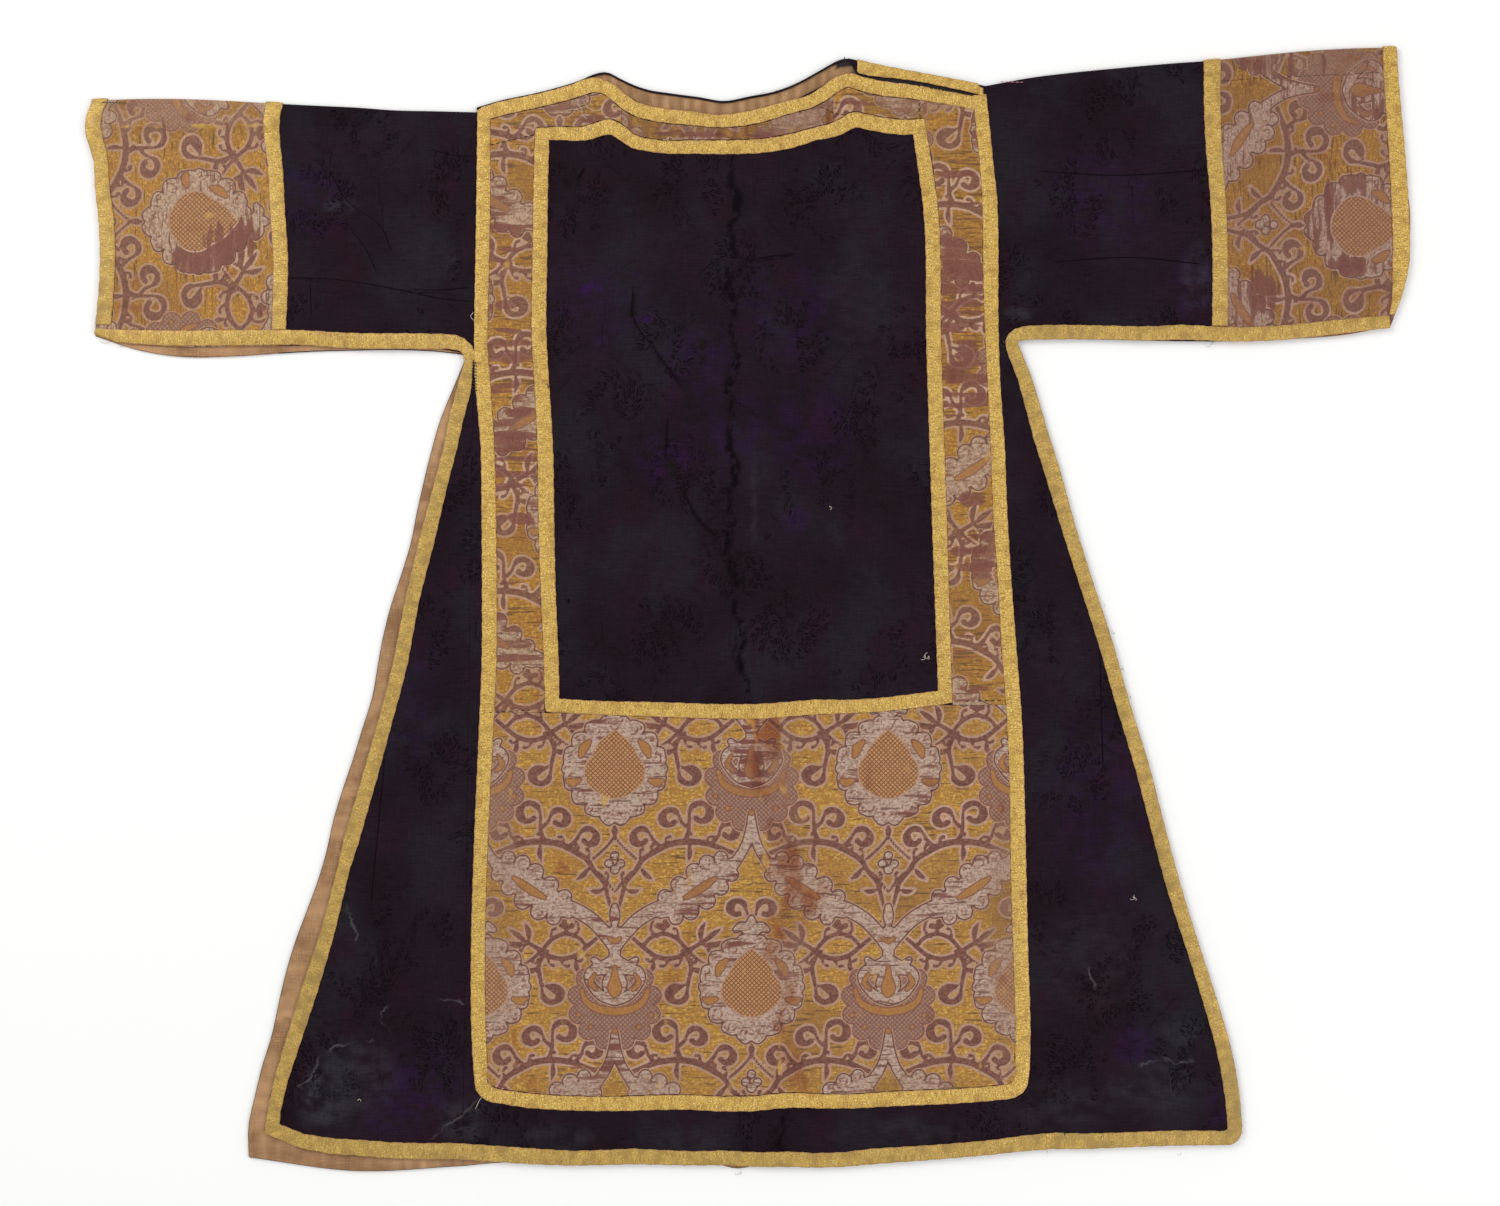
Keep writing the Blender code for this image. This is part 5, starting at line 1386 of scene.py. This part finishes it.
@dataclass
class Panel(Piece):
    """A piece that lies flat between four edges."""

    top: float = FRONT_TOP
    thickness: float = CLOTH
    lifted: bool = True  # whether it rises and falls with the front's creases
    cell: float = 4.0  # the usual distance between its columns of points
    row: float = 4.0  # and between its rows
    soft: bool = True
    columns_fine: tuple[Span, ...] = ()
    rows_fine: tuple[Span, ...] = ()
    more_right: float = 0.0  # how far it runs on under the next piece at its right
    more_up: float = 0.0  # and at its top
    corners: tuple[float, float] = (0.0, 0.0)  # how far its lower corners are let out, or drawn in
    near_corner: float = 18.0  # how far from a corner the cloth goes out with it
    short: float = 0.0  # how much shorter it is than the braid that binds its foot

    def grid(self) -> Grid:
        """Its points, from the foot to the top.

        Returns:
            The grid.
        """
        sides = Skin(self.node, soft=self.soft).sides
        left, right = sides["left"], sides["right"].moved(self.more_right)
        top, foot = sides["top"].moved(-self.more_up), sides["bottom"].moved(-self.short)
        widest = max(left.place.max(), right.place.max())
        start, end = float(left(widest)), float(right(widest))
        places = spaced(start, end, self.cell, self.columns_fine)
        shares = (places - start) / (end - start)
        high = top(settled(left, right, shares, top))
        low = foot(settled(left, right, shares, foot))
        downs = spaced(float(high.min()), float(low.max()), self.row, self.rows_fine)
        rows = ((downs - downs[0]) / (downs[-1] - downs[0]))[::-1, None]
        down = high + (low - high) * rows
        across = left(down) + (right(down) - left(down)) * shares
        for column, way, reach in ((0, -1, self.corners[0]), (-1, 1, self.corners[1])):
            away = np.hypot(across - across[0, column], down - down[0, column])
            out = reach * eased(1 - away / self.near_corner)
            across, down = across + way * out, down + out
        rise = lift(across, down) if self.lifted else self.relief(across, down)
        outer = to_metres(across, down, self.top + rise)
        inner = to_metres(across, down, self.top - self.thickness + (rise if self.lifted else 0.0))
        return across, down, outer, inner, np.stack([across, down, rise], -1)

    def relief(self, across: Array, down: Array) -> Array:
        """How far a piece that lies under the front rises of its own."""
        return np.zeros(across.shape)


@dataclass
class Puckered(Panel):
    """The back's lining, drawn up in small gathers where it shows at the neck."""

    pucker: float = 0.6  # the height of a gather
    clear: float = 2.0  # the gathers start this far above the front's edge
    rising: float = 6.0  # and are full this much further up

    def relief(self, across: Array, down: Array) -> Array:
        """Gathers above the front's own edge."""
        edge = Skin("front_panel").sides["top"](across)
        return self.pucker * puckers(across) * eased((edge - self.clear - down) / self.rising)


@dataclass
class Folded(Piece):
    """A piece that lies on the table, turns over along its top edge and lies on itself."""

    cell: float = 4.0
    row: float = 4.0
    back_row: float = 14.0
    columns_fine: tuple[Span, ...] = ()
    narrowed: Span | None = None  # from, to, and how wide the turned part is there
    narrowing: float = 8.0  # how gently it gets narrower
    turned_from: float = 3.0  # what faces up above this height is the turned part
    under_within: Sequence[float] = (1.0, 1.6)  # the heights between which the underside faces up
    turn_angles: Sequence[int] = range(90, -91, -15)

    def held(self) -> Hold:
        """How its cloth is held."""
        return Hold.FOLDED

    def wall(self) -> float:
        """How thick its solid is: a cuff is lined, and as thick as the sleeve."""
        return CLOTH

    def grid(self) -> Grid:
        """Its points, from the edge that is seen, round the fold and to the edge underneath.

        Returns:
            The grid, with down as if the piece were unrolled.
        """
        front, back = Skin(self.node, self.turned_from).sides, Skin(self.node, *self.under_within).sides
        left, right, fold = front["left"], front["right"], fold_line(self.node)
        middle = float((left.place.min() + left.place.max()) / 2)
        start, end = float(left(middle)), float(right(middle))
        places = spaced(start, end, self.cell, self.columns_fine)
        shares = (places - start) / (end - start)

        def round_fold(across: Array, cosine: float = 0.0) -> Array:
            """How far down a line along the fold lies: its middle, or further round by a cosine."""
            return fold(across) + TURN_RADIUS - TURN_RADIUS * cosine

        def shown(across: Array, share: float = 1.0) -> Array:
            """How far down a share of the turned part reaches.

            Args:
                across: the places across.
                share: the share, up to 1 for its edge.
            Returns:
                How far down it lies at each place.
            """
            reach = front["bottom"](across) - round_fold(across)
            if self.narrowed:
                first, last, width = self.narrowed
                inside = eased((across - first) / self.narrowing) * eased((last - across) / self.narrowing)
                reach = reach + (np.minimum(reach, width) - reach) * inside
            return round_fold(across) + reach * share

        def hidden(across: Array, share: float = 1.0) -> Array:
            """How far down a share of the underside reaches."""
            return round_fold(across) + (back["bottom"](across) - round_fold(across)) * share

        def placed(line: Curve) -> tuple[Array, Array]:
            """Across and down for the points along one line."""
            across = settled(left, right, shares, line)
            return across, line(across)

        def shares_of(line: Curve, step: float) -> Array:
            """Even shares from 0 to 1 that lie about a step apart where the line is furthest down."""
            deep = float((line(places) - round_fold(places)).max())
            return np.linspace(0, 1, max(2, round(deep / step)) + 1)

        rows: list[Grid] = []
        for share in shares_of(shown, self.row)[:0:-1]:
            across, down = placed(partial(shown, share=share))
            height = FRONT_TOP + lift(across, down)
            rows.append((across, down, height, down, height - CLOTH))
        for angle in self.turn_angles:
            cosine, sine = math.cos(math.radians(angle)), math.sin(math.radians(angle))
            across, down = placed(partial(round_fold, cosine=cosine))
            height, inner_height = (np.full_like(across, TURN_RADIUS + radius * sine)
                                    for radius in (TURN_RADIUS, TURN_RADIUS - CLOTH))
            rows.append((across, down, height, down + CLOTH * cosine, inner_height))
        for share in shares_of(hidden, self.back_row)[1:]:
            across, down = placed(partial(hidden, share=share))
            rows.append((across, down, np.zeros_like(across), down, np.full_like(across, CLOTH)))
        across, down, height, inner_down, inner_height = (np.array(part) for part in zip(*rows))
        outer, inner = to_metres(across, down, height), to_metres(across, inner_down, inner_height)
        along = np.linalg.norm(np.diff(outer, axis=0), axis=-1).cumsum(axis=0) / MILLIMETRE
        along = np.vstack([np.zeros((1, across.shape[1])), along])
        unrolled = down[:1] - along
        return across, unrolled, outer, inner, np.stack([across, unrolled, height], -1)


@dataclass
class Ribbon(Piece):
    """A galloon sewn flat on the front, with mitred or rounded turns."""

    step: float = 2.6
    over_fold: bool = False
    lanes: int = 6  # strips of faces from one edge to the other
    tucks: tuple[float, float] = (0.0, 0.0)  # how far it runs on under the next at each end
    spread: Span | None = None  # from, to, and how much higher its upper edge lies
    shoulders: float = 130.0  # the spread part lies above this
    led: tuple[Span, ...] = ()  # across, down and width, where one end is led on
    turn_angles: Sequence[int] = range(75, -31, -15)
    half_width: float = 7.5  # of a usual stretch, which the wobble is set for
    close: float = 0.1  # how far above the cloth its underside lies

    def held(self) -> Hold:
        """How its cloth is held."""
        return Hold.FOLDED if self.over_fold else Hold.LAID

    def led_on(self, pairs: Array) -> Array:
        """Lead the end on that is nearer to the given way.

        Args:
            pairs: points of both edges along the braid.
        Returns:
            The points with that end last, where it follows the way.
        """
        way = np.array(self.led)
        middles = pairs[:, :, :2].mean(axis=1)
        if np.hypot(*(middles[0] - way[0, :2])) < np.hypot(*(middles[-1] - way[0, :2])):
            pairs, middles = pairs[::-1], middles[::-1]
        side = np.sign(way[0, 0] - middles[0, 0])
        kept = pairs[(way[0, 0] - middles[:, 0]) * side > 4]
        ahead = np.gradient(way[:, :2], axis=0)
        beside = np.stack([-ahead[:, 1], ahead[:, 0]], -1) / np.linalg.norm(ahead, axis=1)[:, None]
        if (beside[0] * (kept[-1, 1] - kept[-1, 0])[:2]).sum() < 0:
            beside = -beside
        more = [np.append(row[:2] + turn * row[2] / 2 * off, kept[-1, 0, 2])
                for row, turn in zip(way, beside) for off in (-1, 1)]
        return np.concatenate([kept, np.array(more).reshape(-1, 2, 3)])

    def pairs(self) -> Array:
        """The solid's facing points along the braid, with its ends led on or tucked under.

        Returns:
            Rows, two edges, and across, down and height.
        """
        pairs = Skin(self.node).pairs()
        if self.over_fold:
            pairs = pairs[pairs[:, :, 2].min(axis=1) > RAISED + BRAID - 0.05]
            if pairs[0, 0, 1] < pairs[-1, 0, 1]:
                pairs = pairs[::-1]
        elif pairs[0, :, 0].sum() > pairs[-1, :, 0].sum():
            pairs = pairs[::-1]
        if self.led:
            pairs = self.led_on(pairs)
        for end, tuck in zip((0, -1), self.tucks):
            if tuck:
                ahead = pairs[end].mean(axis=0) - pairs[1 if end == 0 else -2].mean(axis=0)
                more = pairs[end] + ahead / np.linalg.norm(ahead[:2]) * tuck
                pairs = np.insert(pairs, 0 if end == 0 else len(pairs), more, axis=0)
        return pairs

    def edges(self) -> tuple[Array, Array]:
        """Its edges at even steps.

        Returns:
            How far along each step is, and its two edges' across and down.
        """
        pairs = self.pairs()
        middle = pairs[:, :, :2].mean(axis=1)
        run = np.concatenate([[0.0], np.linalg.norm(np.diff(middle, axis=0), axis=1).cumsum()])
        along = np.linspace(0, run[-1], max(2, round(run[-1] / self.step)) + 1)
        edges = np.stack([np.stack([np.interp(along, run, pairs[:, side, axis]) for axis in (0, 1)], -1)
                          for side in (0, 1)], 1)
        if self.spread:
            start, end, more = self.spread
            upper = edges[:, :, 1].argmin(axis=1)
            there = edges[np.arange(len(edges)), upper]
            edges[np.arange(len(edges)), upper, 1] -= (
                more * eased((there[:, 0] - start) / 6) * eased((end - there[:, 0]) / 12)
                * (there[:, 1] < self.shoulders))
        return along, edges

    def over(self, grid: Grid, crown: Array) -> Grid:
        """Take the last row on over the fold.

        Args:
            grid: the points that lie on the front.
            crown: the share of its thickness that each point of the last row has.
        Returns:
            The grid with the turned rows after it.
        """
        across, down, outer, inner, thread = grid
        turned_outer, turned_inner = [], []
        for angle in self.turn_angles:
            cosine, sine = math.cos(math.radians(angle)), math.sin(math.radians(angle))
            for reach, rows in ((RAISED - TURN_RADIUS + BRAID * crown, turned_outer),
                                (TURN_RADIUS + self.close + 0 * crown, turned_inner)):
                rows.append(to_metres(across[-1:], down[-1:] - reach * cosine, TURN_RADIUS + reach * sine))
        count = len(self.turn_angles)
        more = np.repeat(thread[-1:], count, 0)
        more[..., 0] += np.arange(1, count + 1)[:, None] * math.radians(15) * (TURN_RADIUS + BRAID)
        return (np.concatenate([across, np.repeat(across[-1:], count, 0)]),
                np.concatenate([down, np.repeat(down[-1:], count, 0)]),
                np.concatenate([outer, *turned_outer]), np.concatenate([inner, *turned_inner]),
                np.concatenate([thread, more]))

    def grid(self) -> Grid:
        """Its points along its length, a little uneven and lower at its edges.

        Returns:
            The grid.
        """
        along, edges = self.edges()
        beside = np.linspace(-1, 1, self.lanes + 1)
        wobble = 0.22 * np.sin(along * 0.37) + 0.16 * np.sin(along * 0.91 + 1.3)
        reach = beside[None] * (1 + wobble[:, None] / self.half_width * np.abs(beside))
        centre, half = edges.mean(axis=1)[:, None], (edges[:, 1] - edges[:, 0])[:, None] / 2
        points = centre + half * reach[..., None]
        across, down = points[..., 0], points[..., 1]
        ripple = 0.05 * np.sin(along * 1.43)[:, None] * (1 - beside[None] ** 2)
        crown = 1 - 0.4 * np.abs(beside[None]) ** 5 + ripple
        for tuck, from_end in zip(self.tucks, (along, along[-1] - along)):
            if tuck:
                crown = crown * (0.55 + 0.45 * eased((from_end[:, None] - tuck + 2) / 3))
        rise = lift(across, down)
        outer = to_metres(across, down, RAISED + BRAID * crown + rise)
        inner = to_metres(across, down, FRONT_TOP + self.close + rise)
        width = np.linalg.norm(half, axis=-1)
        threads = np.stack(np.broadcast_arrays(along[:, None], beside[None] * width, width), -1)
        grid = (across, down, outer, inner, threads)
        return self.over(grid, crown[-1:]) if self.over_fold else grid


# ------ the garment

@dataclass
class Body:
    """The back with its lining, and the front over it."""

    damask: Damask
    lining: Lining
    at_neck: Span = (560.0, 880.0, 5.0)  # from, to, and how close the points lie there
    narrow_turn: Span = (590.0, 850.0, 0.5)  # from, to, and how wide the back's turned edge is
    gathered: Span = (590.0, 860.0, 3.0)
    above_front: Span = (55.0, 130.0, 4.0)
    between_columns: Span = (551.0, 938.0, 3.1)
    centre_panel: Span = (136.0, 702.0, 3.3)
    by_hem: Span = (1100.0, 1170.0, 3.3)
    drawn_in: float = -6.0  # the right gores' lower corner
    under_braid: float = 3.6  # how far a front gore runs up under the sleeve's braid
    lining_up: float = 2.2  # how far the lining runs up under the turned edge

    def back(self) -> list[Piece]:
        """The back and its gores, which lie on the table."""
        return [Folded("back_panel", self.damask, (), cell=9.0, back_row=26,
                       columns_fine=(self.at_neck,), narrowed=self.narrow_turn),
                *(Panel("back_gore_" + side, self.damask, (), top=CLOTH, lifted=False, cell=8, row=12,
                        corners=(0, corner)) for side, corner in (("left", 0), ("right", self.drawn_in)))]

    def inside(self) -> list[Piece]:
        """The lining, whole behind the panel and in two gores."""
        flat = partial(Panel, finish=self.lining, top=LINING_TOP, thickness=LINING, lifted=False)
        return [Puckered("back_lining", self.lining, ("back_panel",), top=LINING_TOP, thickness=LINING,
                         lifted=False, cell=6, row=24, more_up=self.lining_up,
                         columns_fine=(self.gathered,), rows_fine=(self.above_front,)),
                flat("gore_lining_left", rests_on=("back_gore_left",), cell=5, row=8),
                flat("gore_lining_right", rests_on=("back_gore_right",), cell=8, row=12,
                     corners=(0, self.drawn_in))]

    def front(self) -> list[Piece]:
        """The front and its gores, which end under the hem's braid."""
        gore = partial(Panel, finish=self.damask, cell=3.7, row=3.7, more_up=self.under_braid, short=1.0)
        return [Panel("front_panel", self.damask, ("back_lining",), cell=4.2, row=10, short=0.8,
                      columns_fine=(self.between_columns,), rows_fine=(self.centre_panel, self.by_hem)),
                gore("front_gore_left", rests_on=("gore_lining_left",)),
                gore("front_gore_right", rests_on=("gore_lining_right",), corners=(0, self.drawn_in))]

    def build(self) -> list[Object]:
        """Make the body's pieces, from the table up."""
        return [piece.build() for piece in self.back() + self.inside() + self.front()]


@dataclass
class Sleeves:
    """Both sleeves with their cuffs and linings."""

    damask: Damask
    brocade: Brocade
    lining: Lining
    sleeve_cell: float = 3.0
    sleeve_row: float = 2.4
    cuff_cell: float = 2.3

    def build(self) -> list[Object]:
        """Make both sleeves' pieces."""
        return [piece.build() for side in ("left", "right") for piece in (
            Folded("sleeve_" + side, self.damask, (), cell=self.sleeve_cell, row=self.sleeve_row),
            Folded("cuff_" + side, self.brocade, (), cell=self.cuff_cell, row=self.cuff_cell),
            Panel("sleeve_lining_" + side, self.lining, ("sleeve_" + side,), top=LINING_TOP,
                  thickness=LINING, lifted=False, cell=7, row=6))]


@dataclass
class Apparels:
    """The figured brocade on the front: foot, columns, shoulders and neck band."""

    brocade: Brocade
    cell: float = 2.25
    over_front: float = 0.2  # it reaches down this far into the gap under it
    foot_corners: tuple[float, float] = (3.0, 3.4)
    tucked_down: float = 0.25  # the right shoulder lies lower, where it is tucked
    tucked_under: float = 7.5  # and runs on this far under the next piece

    def build(self) -> list[Object]:
        """Make the apparels.

        Returns:
            The finished apparels.
        """
        made = []
        for place in ("foot", "column_left", "column_right", "shoulder_left", "shoulder_right", "neck_band"):
            tucked = place == "shoulder_right"
            piece = Panel("brocade_" + place, self.brocade, ("front_panel",),
                          top=RAISED + BROCADE - (self.tucked_down if tucked else 0.0),
                          thickness=BROCADE + self.over_front, cell=self.cell, row=self.cell, soft=False,
                          more_right=self.tucked_under if tucked else 0.0,
                          corners=self.foot_corners if place == "foot" else (0.0, 0.0))
            made.append(piece.build())
        return made


@dataclass
class Braids:
    """All the gold galloons."""

    galloon: Galloon
    UNDER_ARMS: ClassVar[dict[str, tuple[Span, ...]]] = {
        "left": ((446, 342.0, 15.0), (455, 342.8, 14.6), (462, 345.0, 13.6), (467.4, 349.4, 12.4),
                 (469.8, 355.0, 11.4), (469.6, 360.0, 12.0)),
        "right": ((1032, 333.2, 14.0), (1024, 333.6, 13.6), (1017, 335.2, 13.0), (1012.4, 338.8, 12.4),
                  (1011.0, 343.0, 12.4), (1011.6, 347.2, 12.8), (1012.8, 350.6, 13.0))}

    TUCKS: ClassVar[dict[str, tuple[float, float]]] = {
        "orphrey_braid": (11.0, 5.0), "panel_braid": (11.0, 17.0), "panel_braid_top": (0.0, 0.0),
        "neck_braid": (0.0, 12.0), "hem_braid": (0.0, 0.0)}
    SPREAD: ClassVar[dict[str, Span]] = {"neck_braid": (478.0, 604.0, 2.0)}

    def build(self) -> list[Object]:
        """Make the galloons.

        Returns:
            The finished galloons.
        """
        pieces = [Ribbon(node, self.galloon, ("front_panel",), tucks=tucks, spread=self.SPREAD.get(node))
                  for node, tucks in self.TUCKS.items()]
        pieces.append(Ribbon("shoulder_braid_back", self.galloon, ("back_panel",), tucks=(0.0, 5.0)))
        for side, way in self.UNDER_ARMS.items():
            pieces.append(Ribbon("sleeve_hem_braid_" + side, self.galloon, ("sleeve_" + side,), led=way))
            pieces += [Ribbon(f"{kind}_braid_{side}", self.galloon, (f"{under}_{side}",), over_fold=True)
                       for kind, under in (("cuff", "cuff"), ("band", "sleeve"))]
        return [piece.build() for piece in pieces]


@dataclass(frozen=True)
class Seam:
    """A row of stitches or a loose thread along a path on the sheet."""

    path: tuple[tuple[float, float], ...]
    height: float
    stitch: float = 0.0  # the length of one stitch, or 0 for a thread in one length
    gap: float = 2.6

    def runs(self) -> list[Array]:
        """Points of each length of thread.

        Returns:
            Across, down and height of the points, for each length.
        """
        corners = np.array(self.path, dtype=float)
        legs = np.concatenate([[0.0], np.linalg.norm(np.diff(corners, axis=0), axis=1).cumsum()])
        stitch = self.stitch or legs[-1]
        found = []
        for start in np.arange(0, legs[-1] - stitch * 0.5, stitch + self.gap):
            along = start + stitch * np.linspace(0, 1, 3 if self.stitch else len(corners) + 2)
            across, down = (np.interp(along, legs, corners[:, axis]) for axis in (0, 1))
            arch = np.sin(np.linspace(0, math.pi, len(along))) * (0.5 if self.stitch else 0.9)
            found.append(np.stack([across, down, self.height + lift(across, down) + arch], -1))
        return found


def tuft(across: float, down: float, height: float, reach: float, count: int, turn: float) -> list[Seam]:
    """Loose ends of thread that stand out from one place.

    Args:
        across: the place across.
        down: the place down.
        height: how high it lies.
        reach: how far the ends reach.
        count: how many ends.
        turn: the way the first one points, in degrees.
    Returns:
        The threads.
    """
    ends = []
    for index in range(count):
        angle = math.radians(turn + 47 * index)
        length = reach * (0.6 + 0.4 * math.sin(2.3 * index + across))
        path = tuple((across + length * share * math.cos(angle + bend),
                      down + length * share * math.sin(angle + bend))
                     for share, bend in ((0.0, 0.0), (0.4, 0.15), (0.75, 0.5), (1.0, 0.9)))
        ends.append(Seam(path, height))
    return ends


@dataclass
class Needlework:
    """The stitches that show and the threads that have come loose."""

    # Stitches: a path, its height, and the length of a stitch and of a gap if it isn't one length.
    BLACK: ClassVar[tuple[Seam, ...]] = (
        Seam(((491, 146), (536, 135.5)), ON_BROCADE, 3.2),
        Seam(((820, 108), (836, 115), (846, 116)), ON_BROCADE, 3.0),
        Seam(((918.5, 104), (920, 121)), ON_BROCADE, 3.0),
        *(Seam(((472.6, down), (477.4, down + 0.7)), ON_BRAID) for down in range(363, 393, 3)),
        Seam(((104, 103.5), (128, 104)), ON_BRAID, 2.0, 1.2),
        Seam(((930, 89.2), (966, 95.4)), ON_BRAID - 0.1, 2.4, 1.4),
        Seam(((905, 84.5), (925, 88.4)), ON_BROCADE - 0.15, 1.6, 5.0),
        Seam(((490, 712), (530, 710)), ON_BROCADE, 3.0, 3.4),
        Seam(((965, 701), (1003, 700)), ON_BROCADE, 3.0, 3.4))
    BROWN: ClassVar[tuple[Seam, ...]] = (
        Seam(((1222, 82), (1251, 79.6)), ON_FOLD, 6.5, 1.0),
        Seam(((1254, 79.8), (1292, 78)), ON_FOLD, 3.2, 2.2),
        Seam(((1294, 77.4), (1338, 75.2)), ON_FOLD, 8.0, 0.8),
        Seam(((1342, 75.4), (1381, 73)), ON_FOLD, 4.0, 1.4))
    PINK: ClassVar[tuple[Seam, ...]] = (Seam(((1000, 83), (1022, 83.5)), ON_BROCADE, 3.4, 1.6),)
    PALE: ClassVar[tuple[Seam, ...]] = (
        Seam(((578, 106), (583, 110), (582, 116), (587, 120)), ON_BRAID),
        Seam(((566, 112), (575, 110), (582, 113)), ON_BRAID),
        Seam(((584, 103), (590, 111), (597, 113), (601, 110)), ON_BRAID),
        Seam(((474, 313), (471, 317), (474, 321)), ON_BRAID),
        Seam(((483, 1095), (479, 1101), (476, 1108)), ON_FRONT))
    # Tufts: across, down, height, how far the ends reach, how many there are, and the first one's way.
    BLACK_ENDS = ((551, 386, 6.1, 5, 4, 60), (1003, 347, 6, 4, 3, 80), (1062, 1131, 4.8, 6, 2, -20),
                  (1100, 1133, 4.8, 7, 2, 10), (846, 61, 3.4, 4, 3, 100))
    PALE_ENDS = ((1134, 897, 4.7, 5, 5, 20), (925, 657, 6, 5, 4, 100), (668, 139, 6, 6, 4, -30),
                 (697, 139, 6, 4, 3, 40), (360, 1098, 4.6, 3, 3, 10), (831, 507, 4.6, 3, 3, 60),
                 (591, 128, 6, 6, 2, 60), (928, 656, 4.8, 5, 3, 0))
    TAN_ENDS = ((112, 339, 1.2, 12, 2, 70), (126, 344, 1.4, 9, 2, 110), (402, 684, 4.7, 6, 3, 170),
                (1212, 341, 1.4, 9, 2, 40), (200, 350, 1.2, 8, 2, 60), (741, 1171, 1.6, 7, 2, 60),
                (1104, 604, 4.8, 4, 2, 10), (1113, 634, 4.8, 4, 3, 200), (1122, 668, 4.8, 5, 3, 30),
                (1129, 696, 4.8, 4, 2, 0), (1006, 343, 5.6, 4, 3, 150), (1240, 1130, 4.8, 4, 2, 20),
                (1180, 1152, 4.6, 4, 2, 60), (1046, 1149, 4.6, 5, 2, 40), (665, 94, 3, 7, 1, -80),
                (761, 98, 3, 7, 1, -110), (773, 95, 3, 11, 2, -75))

    def build(self) -> list[Object]:
        """Make the threads, one piece for each colour.

        Returns:
            The finished pieces.
        """
        made = []
        for name, seams, ends, finish, radius in (
                ("stitches_black", self.BLACK, self.BLACK_ENDS,
                 Plain("waxed_black_thread", None, "141012", 0.55), 0.42),
                ("stitches_brown", self.BROWN, (), Plain("brown_linen_thread", None, "4a301f", 0.7), 0.3),
                ("stitches_pink", self.PINK, (), Plain("pink_silk_thread", None, "b0787c", 0.6), 0.4),
                ("threads_pale", self.PALE, self.PALE_ENDS,
                 Plain("raw_linen_thread", None, "c9bda9", 0.8), 0.24),
                ("threads_tan", (), self.TAN_ENDS, Plain("cotton_thread_tan", None, "8f6d4a", 0.8), 0.16)):
            every = [*seams, *(seam for row in ends for seam in tuft(*row))]
            made.append(self.thread(name, [run for seam in every for run in seam.runs()], finish, radius))
        return made

    def thread(self, name: str, runs: list[Array], finish: Finish, radius: float) -> Object:
        """Make lengths of round thread as one closed piece.

        Args:
            name: the piece's name.
            runs: the points of each length.
            finish: its finish.
            radius: half its thickness in millimetres.
        Returns:
            The finished object.
        """
        bpy.ops.object.select_all(action="DESELECT")
        bpy.ops.curve.primitive_nurbs_path_add(location=(0, 0, 0))
        piece = bpy.context.active_object
        piece.name = name
        piece.data.splines.clear()
        for run in runs:
            spline = piece.data.splines.new("NURBS")
            spline.points.add(len(run) - 1)
            points = np.concatenate([to_metres(run[:, 0], run[:, 1], run[:, 2]), np.ones((len(run), 1))], 1)
            spline.points.foreach_set("co", points.astype(np.float32).ravel())
            spline.order_u, spline.use_endpoint_u, spline.resolution_u = 3, True, 3
        piece.data.bevel_depth = radius * MILLIMETRE
        piece.data.bevel_resolution = 1
        piece.data.use_fill_caps = True
        bpy.ops.object.convert(target="MESH")
        piece = bpy.context.active_object
        piece.name = piece.data.name = name
        piece.data.materials.clear()
        piece.data.materials.append(finish.material())
        bpy.ops.object.shade_smooth_by_angle(angle=SMOOTH_ANGLE)
        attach(piece, "root")
        LOG.info("%s: %d lengths", name, len(runs))
        return piece


@dataclass
class Studio:
    """A pale floor, soft light and the camera straight above."""

    camera: tuple[float, float, float] = (0.0023, 0.0056, 2.5)
    lens_mm: float = 60.0
    floor_size: float = 12.0
    floor_gap: float = 0.0004  # how far under the back's cloth the floor lies
    room: float = 0.68  # the strength of the light from all round

    def build(self) -> None:
        """Make the floor, the lights and the camera."""
        bpy.ops.object.select_all(action="DESELECT")
        bpy.ops.mesh.primitive_plane_add(size=self.floor_size, location=(0, 0, -self.floor_gap))
        floor = bpy.context.active_object
        floor.name = "floor"
        floor.data.materials.append(Plain("matt_white_paper").material())
        scene = bpy.context.scene
        scene.world = scene.world or bpy.data.worlds.new("room")
        scene.world.use_nodes = True
        room = scene.world.node_tree.nodes["Background"]
        room.inputs["Color"].default_value = linear("ffffff")
        room.inputs["Strength"].default_value = self.room
        for name, place, size, power in (("softbox_left", (-2.1, 1.9, 2.6), 1.8, 48),
                                         ("softbox_right", (2.4, -0.8, 2.6), 2.2, 30)):
            bpy.ops.object.light_add(type="AREA", location=place)
            light = bpy.context.active_object
            light.name, light.data.size, light.data.energy = name, size, power
            light.rotation_euler = Vector(place).to_track_quat("Z", "Y").to_euler()
        bpy.ops.object.camera_add(location=self.camera, rotation=(0, 0, 0))
        camera = bpy.context.active_object
        camera.data.sensor_width, camera.data.lens = 36.0, self.lens_mm
        scene.camera = camera
        scene.view_settings.view_transform = "Standard"


def main() -> None:
    """Build the garment; each piece logs its size as it is made."""
    logging.basicConfig(level=logging.INFO, format="%(name)s: %(message)s")
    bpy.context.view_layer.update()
    damask, lining, brocade, galloon = Damask(), Lining(), Brocade(), Galloon()
    Body(damask, lining).build()
    Sleeves(damask, brocade, lining).build()
    Apparels(brocade).build()
    Braids(galloon).build()
    Needlework().build()
    Studio().build()


if __name__ == "__main__":
    main()
